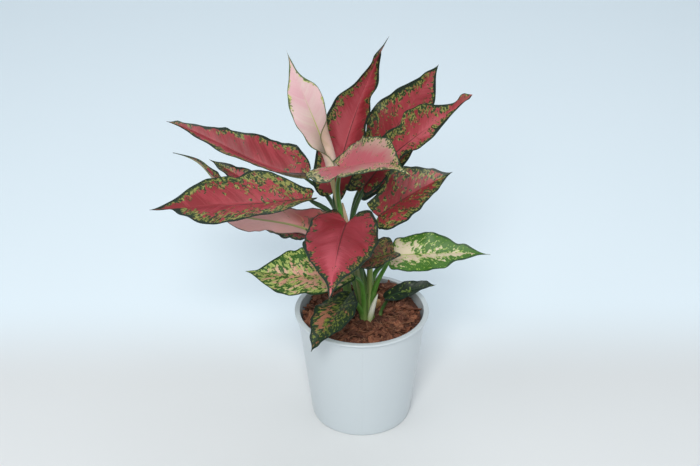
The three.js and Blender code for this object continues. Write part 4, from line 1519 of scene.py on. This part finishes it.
@dataclass
class BarkBed:
    """Coarse coconut bark: an uneven bed, chips, granules and loose fibres."""

    pot: NurseryPot
    surface: float = 84.0
    mound: tuple[float, float, float, float, float] = (5.0, 21, 34, 15, 10)
    # How far the bed is darkened: a painted shade for where it shows in the gaps between the chips.
    gap_shade: float = 0.95
    chips: int = 460
    chip_length: Pair = (4, 14)
    chip_corners: int = 6
    granules: int = 420
    granule_size: Pair = (0.9, 2.6)
    fibres: int = 70
    fibre_length: Pair = (8, 22)
    fibre_radius: Pair = (0.14, 0.34)
    fibre_steps: int = 8
    rings: int = 26
    spokes: int = 72
    clear: float = 3.6
    small_feet: tuple[Pair, ...] = ((12, -1), (12, 18))
    seed: int = 11
    large: tuple[tuple[Point, Point], ...] = (
        ((21, 36, 92), (17, 9, 8)), ((30, 27, 89), (12, 8, 6)), ((11, 37, 90), (12, 8, 6)),
        ((19, 27, 89), (13, 9, 6)), ((30, -6, 86), (13, 8, 4)), ((-22, -30, 85), (12, 8, 4)))

    def ground(self, x: np.ndarray, y: np.ndarray) -> np.ndarray:
        """The height of the bed, with a mound behind the stems.

        Args:
            x: How far right.
            y: How far back.

        Returns:
            The heights.
        """
        rough = np.sin(x * 0.41 + 1.7) * np.cos(y * 0.37) + 0.6 * np.sin(x * 0.93 - y * 0.71)
        out = np.hypot(x, y) / self.pot.mouth_radius
        high, right, back, wide, deep = self.mound
        mound = high * np.exp(-(((x - right) / wide) ** 2 + ((y - back) / deep) ** 2))
        return self.surface + rough + 4.5 * out**3 + mound

    def bark(self) -> bpy.types.Material:
        """Reddish-brown bark with pale torn fibres, painted shade in the grain's hollows and in the gaps
        between the chips.

        Returns:
            The material.
        """
        sketch = NodeSketch("coconut_bark")
        grain = sketch.attribute("grain")
        _, shade, _ = sketch.attribute("zone").split()
        fibre = grain.scaled((0.22, 1, 1)).noise(1.0, 4, 0.65)
        blotch = grain.scaled(shift=3.0).noise(0.12, 3, 0.6)
        sketch.colour = sketch.mix(blotch.step(0.35, 0.65), (98, 54, 40), (140, 88, 64))
        sketch.lay(fibre.step(0.48, 0.74), (172, 124, 94))
        # Painted shade: the low parts of the grain, where the bump sinks, are darkened.
        hollow_shade = 1.0 - fibre.step(0.28, 0.42)
        sketch.lay(hollow_shade, (48, 27, 22))
        # The zone's second value: the bed's painted shade in the gaps between chips, and each chip's own
        # random darker tone.
        sketch.lay(shade * 0.75, (42, 24, 22))
        return sketch.finish(0.82, sketch.bump(fibre, 0.7, 0.9), Specular_IOR_Level=0.3)

    def fibre_finish(self) -> bpy.types.Material:
        """Pale tan fibre.

        Returns:
            The material.
        """
        sketch = NodeSketch("coconut_fibre")
        tint = sketch.attribute("grain").noise(0.3, 2)
        sketch.colour = sketch.mix(tint, (104, 66, 48), (160, 118, 88))
        return sketch.finish(0.8, sketch.bump(tint, 0.1, 0.4))

    def add_bed(self, draft: MeshDraft) -> None:
        """Adds the bed as a closed plug that fills the pot.

        Args:
            draft: The piece that it goes into.
        """
        angles = np.linspace(0, 2 * math.pi, self.spokes, endpoint=False)
        inside = self.pot.inside
        rings = [(self.pot.foot_radius - 5, 4.0), (inside(8.0) - 0.7, 8.0), (inside(76.0) - 0.7, 76.0)]
        rings += [((inside(78.0) - 0.6) * place / self.rings, None) for place in range(self.rings, 0, -1)]
        starts = []
        for radius, height in rings:
            x, y = radius * np.cos(angles), radius * np.sin(angles)
            points = columns(x, y, self.ground(x, y) if height is None else height)
            # The bed carries its painted shade for the gaps between the chips.
            starts.append(draft.add_points(points, points, columns(0.0 * x, self.gap_shade, 0.0)))
        draft.add_skin(starts, self.spokes)

    def add_chip(self, draft: MeshDraft, middle: np.ndarray, size: Point, random: np.random.Generator,
                 tilt: float) -> None:
        """Adds one torn chip, longest along its grain.

        Args:
            draft: The piece that it goes into.
            middle: Where its middle lies.
            size: Its length, width and thickness.
            random: The source of its unevenness.
            tilt: How far it may lean, in radians.
        """
        corners = self.chip_corners
        angles = np.linspace(0, 2 * math.pi, corners, endpoint=False) + random.uniform(0, 1)
        turn = random.uniform(0, math.pi)
        lean, bank = random.uniform(-tilt, tilt), random.uniform(-tilt, tilt)
        attitude = np.array(Euler((bank, lean, turn)).to_matrix())
        shade = max(random.uniform(-0.3, 0.85), 0.0)
        starts = []
        for station in np.linspace(-0.5, 0.5, 4):
            girth = (1 - 1.1 * station**2) * random.uniform(0.75, 1.15, corners)
            along = station * size[0] + random.uniform(-0.12, 0.12, corners) * size[0]
            local = columns(along, np.cos(angles) * girth * size[1] / 2, np.sin(angles) * girth * size[2] / 2)
            zone = columns(np.zeros(corners), shade, 0.0)
            starts.append(draft.add_points(local @ attitude.T + middle, local + middle * 3, zone))
        draft.add_skin(starts, corners)

    def spot(self, random: np.random.Generator, margin: float) -> np.ndarray:
        """A free place on the bed, clear of the stems and of the pot's wall.

        Args:
            random: The source of the place.
            margin: How far it keeps from the wall, in millimetres.

        Returns:
            The place.
        """
        feet = [*(cane.value.foot for cane in Cane), *self.small_feet]
        while True:
            out = math.sqrt(random.uniform()) * (self.pot.inside(self.surface) - margin)
            angle = random.uniform(0, 2 * math.pi)
            x, y = out * math.cos(angle), out * math.sin(angle)
            if all(math.hypot(x - a, y - b) > self.clear + margin * 0.6 for a, b in feet):
                return np.array([x, y, float(self.ground(x, y))])

    def add_fibre(self, draft: MeshDraft, random: np.random.Generator) -> None:
        """Adds one loose fibre that lies on the chips.

        Args:
            draft: The piece that it goes into.
            random: The source of its shape.
        """
        length = random.uniform(*self.fibre_length)
        middle = self.spot(random, length * 0.35)
        heading = random.uniform(0, 2 * math.pi)
        bend = random.uniform(-0.9, 0.9)
        share = np.linspace(-0.5, 0.5, self.fibre_steps)
        angle = heading + bend * share * 2
        part, half = length / self.fibre_steps, length / 2
        x = middle[0] + np.cumsum(np.cos(angle)) * part - math.cos(heading) * half
        y = middle[1] + np.cumsum(np.sin(angle)) * part - math.sin(heading) * half
        out = np.maximum(np.hypot(x, y) / (self.pot.inside(self.surface) - 1), 1.0)
        x, y = x / out, y / out
        z = self.ground(x, y) + random.uniform(1.4, 3.2) + 1.2 * np.cos(share * math.pi)
        radii = random.uniform(*self.fibre_radius) * (1.1 - 1.2 * np.abs(share))
        draft.add_tube(columns(x, y, z), radii, 5, (0, 0, 1), 1)

    def build(self) -> None:
        """Makes the bed with all that lies on it."""
        random = np.random.default_rng(self.seed)
        draft = MeshDraft("bark_bed")
        self.add_bed(draft)
        for _ in range(self.granules):
            size = random.uniform(*self.granule_size)
            middle = self.spot(random, 1.6)
            middle[2] += random.uniform(-0.2, 1.4)
            self.add_chip(draft, middle, (size * 1.4, size, size * 0.8), random, 1.2)
        for _ in range(self.chips):
            length = random.uniform(*self.chip_length) * random.uniform(0.7, 1.0)
            middle = self.spot(random, length * 0.42)
            middle[2] += random.uniform(0.2, 2.2)
            size = (length, length * random.uniform(0.35, 0.7), length * random.uniform(0.1, 0.22))
            self.add_chip(draft, middle, size, random, 0.7)
        for place, size in self.large:
            self.add_chip(draft, np.array(place, float), size, random, 0.3)
        for _ in range(self.fibres):
            self.add_fibre(draft, random)
        settle(draft.to_object([self.bark(), self.fibre_finish()], smooth_faces=False), "bark_soil", "soil")


# ---------------------------------------------------------------- studio


@dataclass
class Studio:
    """The pale floor that sweeps up into a backdrop, the lights and the camera."""

    camera_place: Point = (-0.0198, -0.9923, 0.7279)
    camera_turn: Point = (60.34, 0.0, -0.61)
    lens: float = 77.14
    sensor: float = 36.0
    far_clip: float = 50
    aim: Point = (-0.03, -0.03, 0.17)
    cool: Point = (0.96, 0.98, 1.0)
    sky: tuple[float, float, float, float] = (0.84, 0.92, 1.0, 1.0)
    sky_strength: float = 0.36
    half_width: float = 4000.0
    bend_start: float = 2400.0
    bend_radius: float = 600.0
    backdrop_top: float = 3500.0

    def sweep(self) -> None:
        """Lays the floor and bends it up behind the plant."""
        sketch = NodeSketch("paper_sweep")
        cloud = sketch.attribute("grain").noise(0.004, 2)
        _, back, _ = sketch.attribute("grain").split()
        near = sketch.mix(cloud, (222, 224, 224), (226, 228, 228))
        far = sketch.mix(cloud, (236, 248, 254), (238, 249, 255))
        sketch.colour = sketch.mix(back.step(30.0, 170.0), near, far)
        draft = MeshDraft("floor_sweep")
        wide, bend, radius = self.half_width, self.bend_start, self.bend_radius
        outline = [(-wide, 0.0), (-1000.0, 0.0), (1000.0, 0.0), (bend, 0.0)]
        for angle in np.linspace(0, math.pi / 2, 24)[1:]:
            outline.append((bend + radius * math.sin(angle), radius * (1 - math.cos(angle))))
        outline.append((bend + radius, self.backdrop_top))
        rows = [draft.add_points(np.array([[-wide, y, z], [wide, y, z]])) for y, z in outline]
        for low, high in zip(rows, rows[1:]):
            draft.add_face((low, low + 1, high + 1, high))
        draft.to_object([sketch.finish(0.9)])

    def lamp(self, name: str, place: Point, aim: Point, size: float, power: float, colour: Point) -> None:
        """Hangs one soft lamp.

        Args:
            name: Its name.
            place: Where it hangs, in metres.
            aim: Where it points.
            size: The side of its square, in metres.
            power: Its power in watts.
            colour: Its colour.
        """
        data = bpy.data.lights.new(name, "AREA")
        data.energy = power
        data.size = size
        data.color = colour
        holder = bpy.data.objects.new(name, data)
        holder.location = place
        way = np.array(aim) - np.array(place)
        flat = math.hypot(way[0], way[1])
        holder.rotation_euler = (math.atan2(flat, -way[2]), 0, math.atan2(-way[0], way[1]))
        bpy.context.scene.collection.objects.link(holder)

    def build(self) -> None:
        """Sets up the floor, the lights, the surroundings and the camera."""
        self.sweep()
        self.lamp("key", (-0.15, -1.3, 1.25), self.aim, 0.5, 19, (1.0, 0.99, 0.97))
        self.lamp("left", (-1.3, -0.6, 1.1), self.aim, 1.2, 4, self.cool)
        self.lamp("right", (1.3, -0.7, 1.0), self.aim, 1.2, 3, (0.94, 0.97, 1.0))
        self.lamp("top", (0.1, 0.3, 1.7), self.aim, 1.2, 3, self.cool)
        self.lamp("floor", (0, 0.95, 1.4), (0, 0.85, 0), 1.4, 4.5, self.cool)
        scene = bpy.context.scene
        scene.view_settings.view_transform = "Standard"
        scene.world = bpy.data.worlds.new("soft_surround")
        scene.world.use_nodes = True
        surround = scene.world.node_tree.nodes["Background"]
        surround.inputs["Color"].default_value = self.sky
        surround.inputs["Strength"].default_value = self.sky_strength
        data = bpy.data.cameras.new("viewpoint")
        data.lens = self.lens
        data.sensor_width = self.sensor
        data.clip_end = self.far_clip
        camera = bpy.data.objects.new("viewpoint", data)
        camera.location = self.camera_place
        camera.rotation_euler = tuple(math.radians(angle) for angle in self.camera_turn)
        scene.collection.objects.link(camera)
        scene.camera = camera


# ---------------------------------------------------------------- the whole plant


def main() -> None:
    """Builds the plant piece by piece and reports each."""
    logging.basicConfig(level=logging.INFO, format="%(name)s: %(message)s")
    Studio().build()
    pot = NurseryPot()
    pot.build()
    BarkBed(pot).build()
    for cane in Cane:
        Shoot(cane, [plan for plan in LEAVES if plan.cane is cane]).build()
    stalks = SmallStalks()
    stalks.build_scale()
    stalks.build_stub()
    for seed, plan in enumerate(LEAVES, start=1):
        LeafBlade(plan, seed).build()


if __name__ == "__main__":
    main()
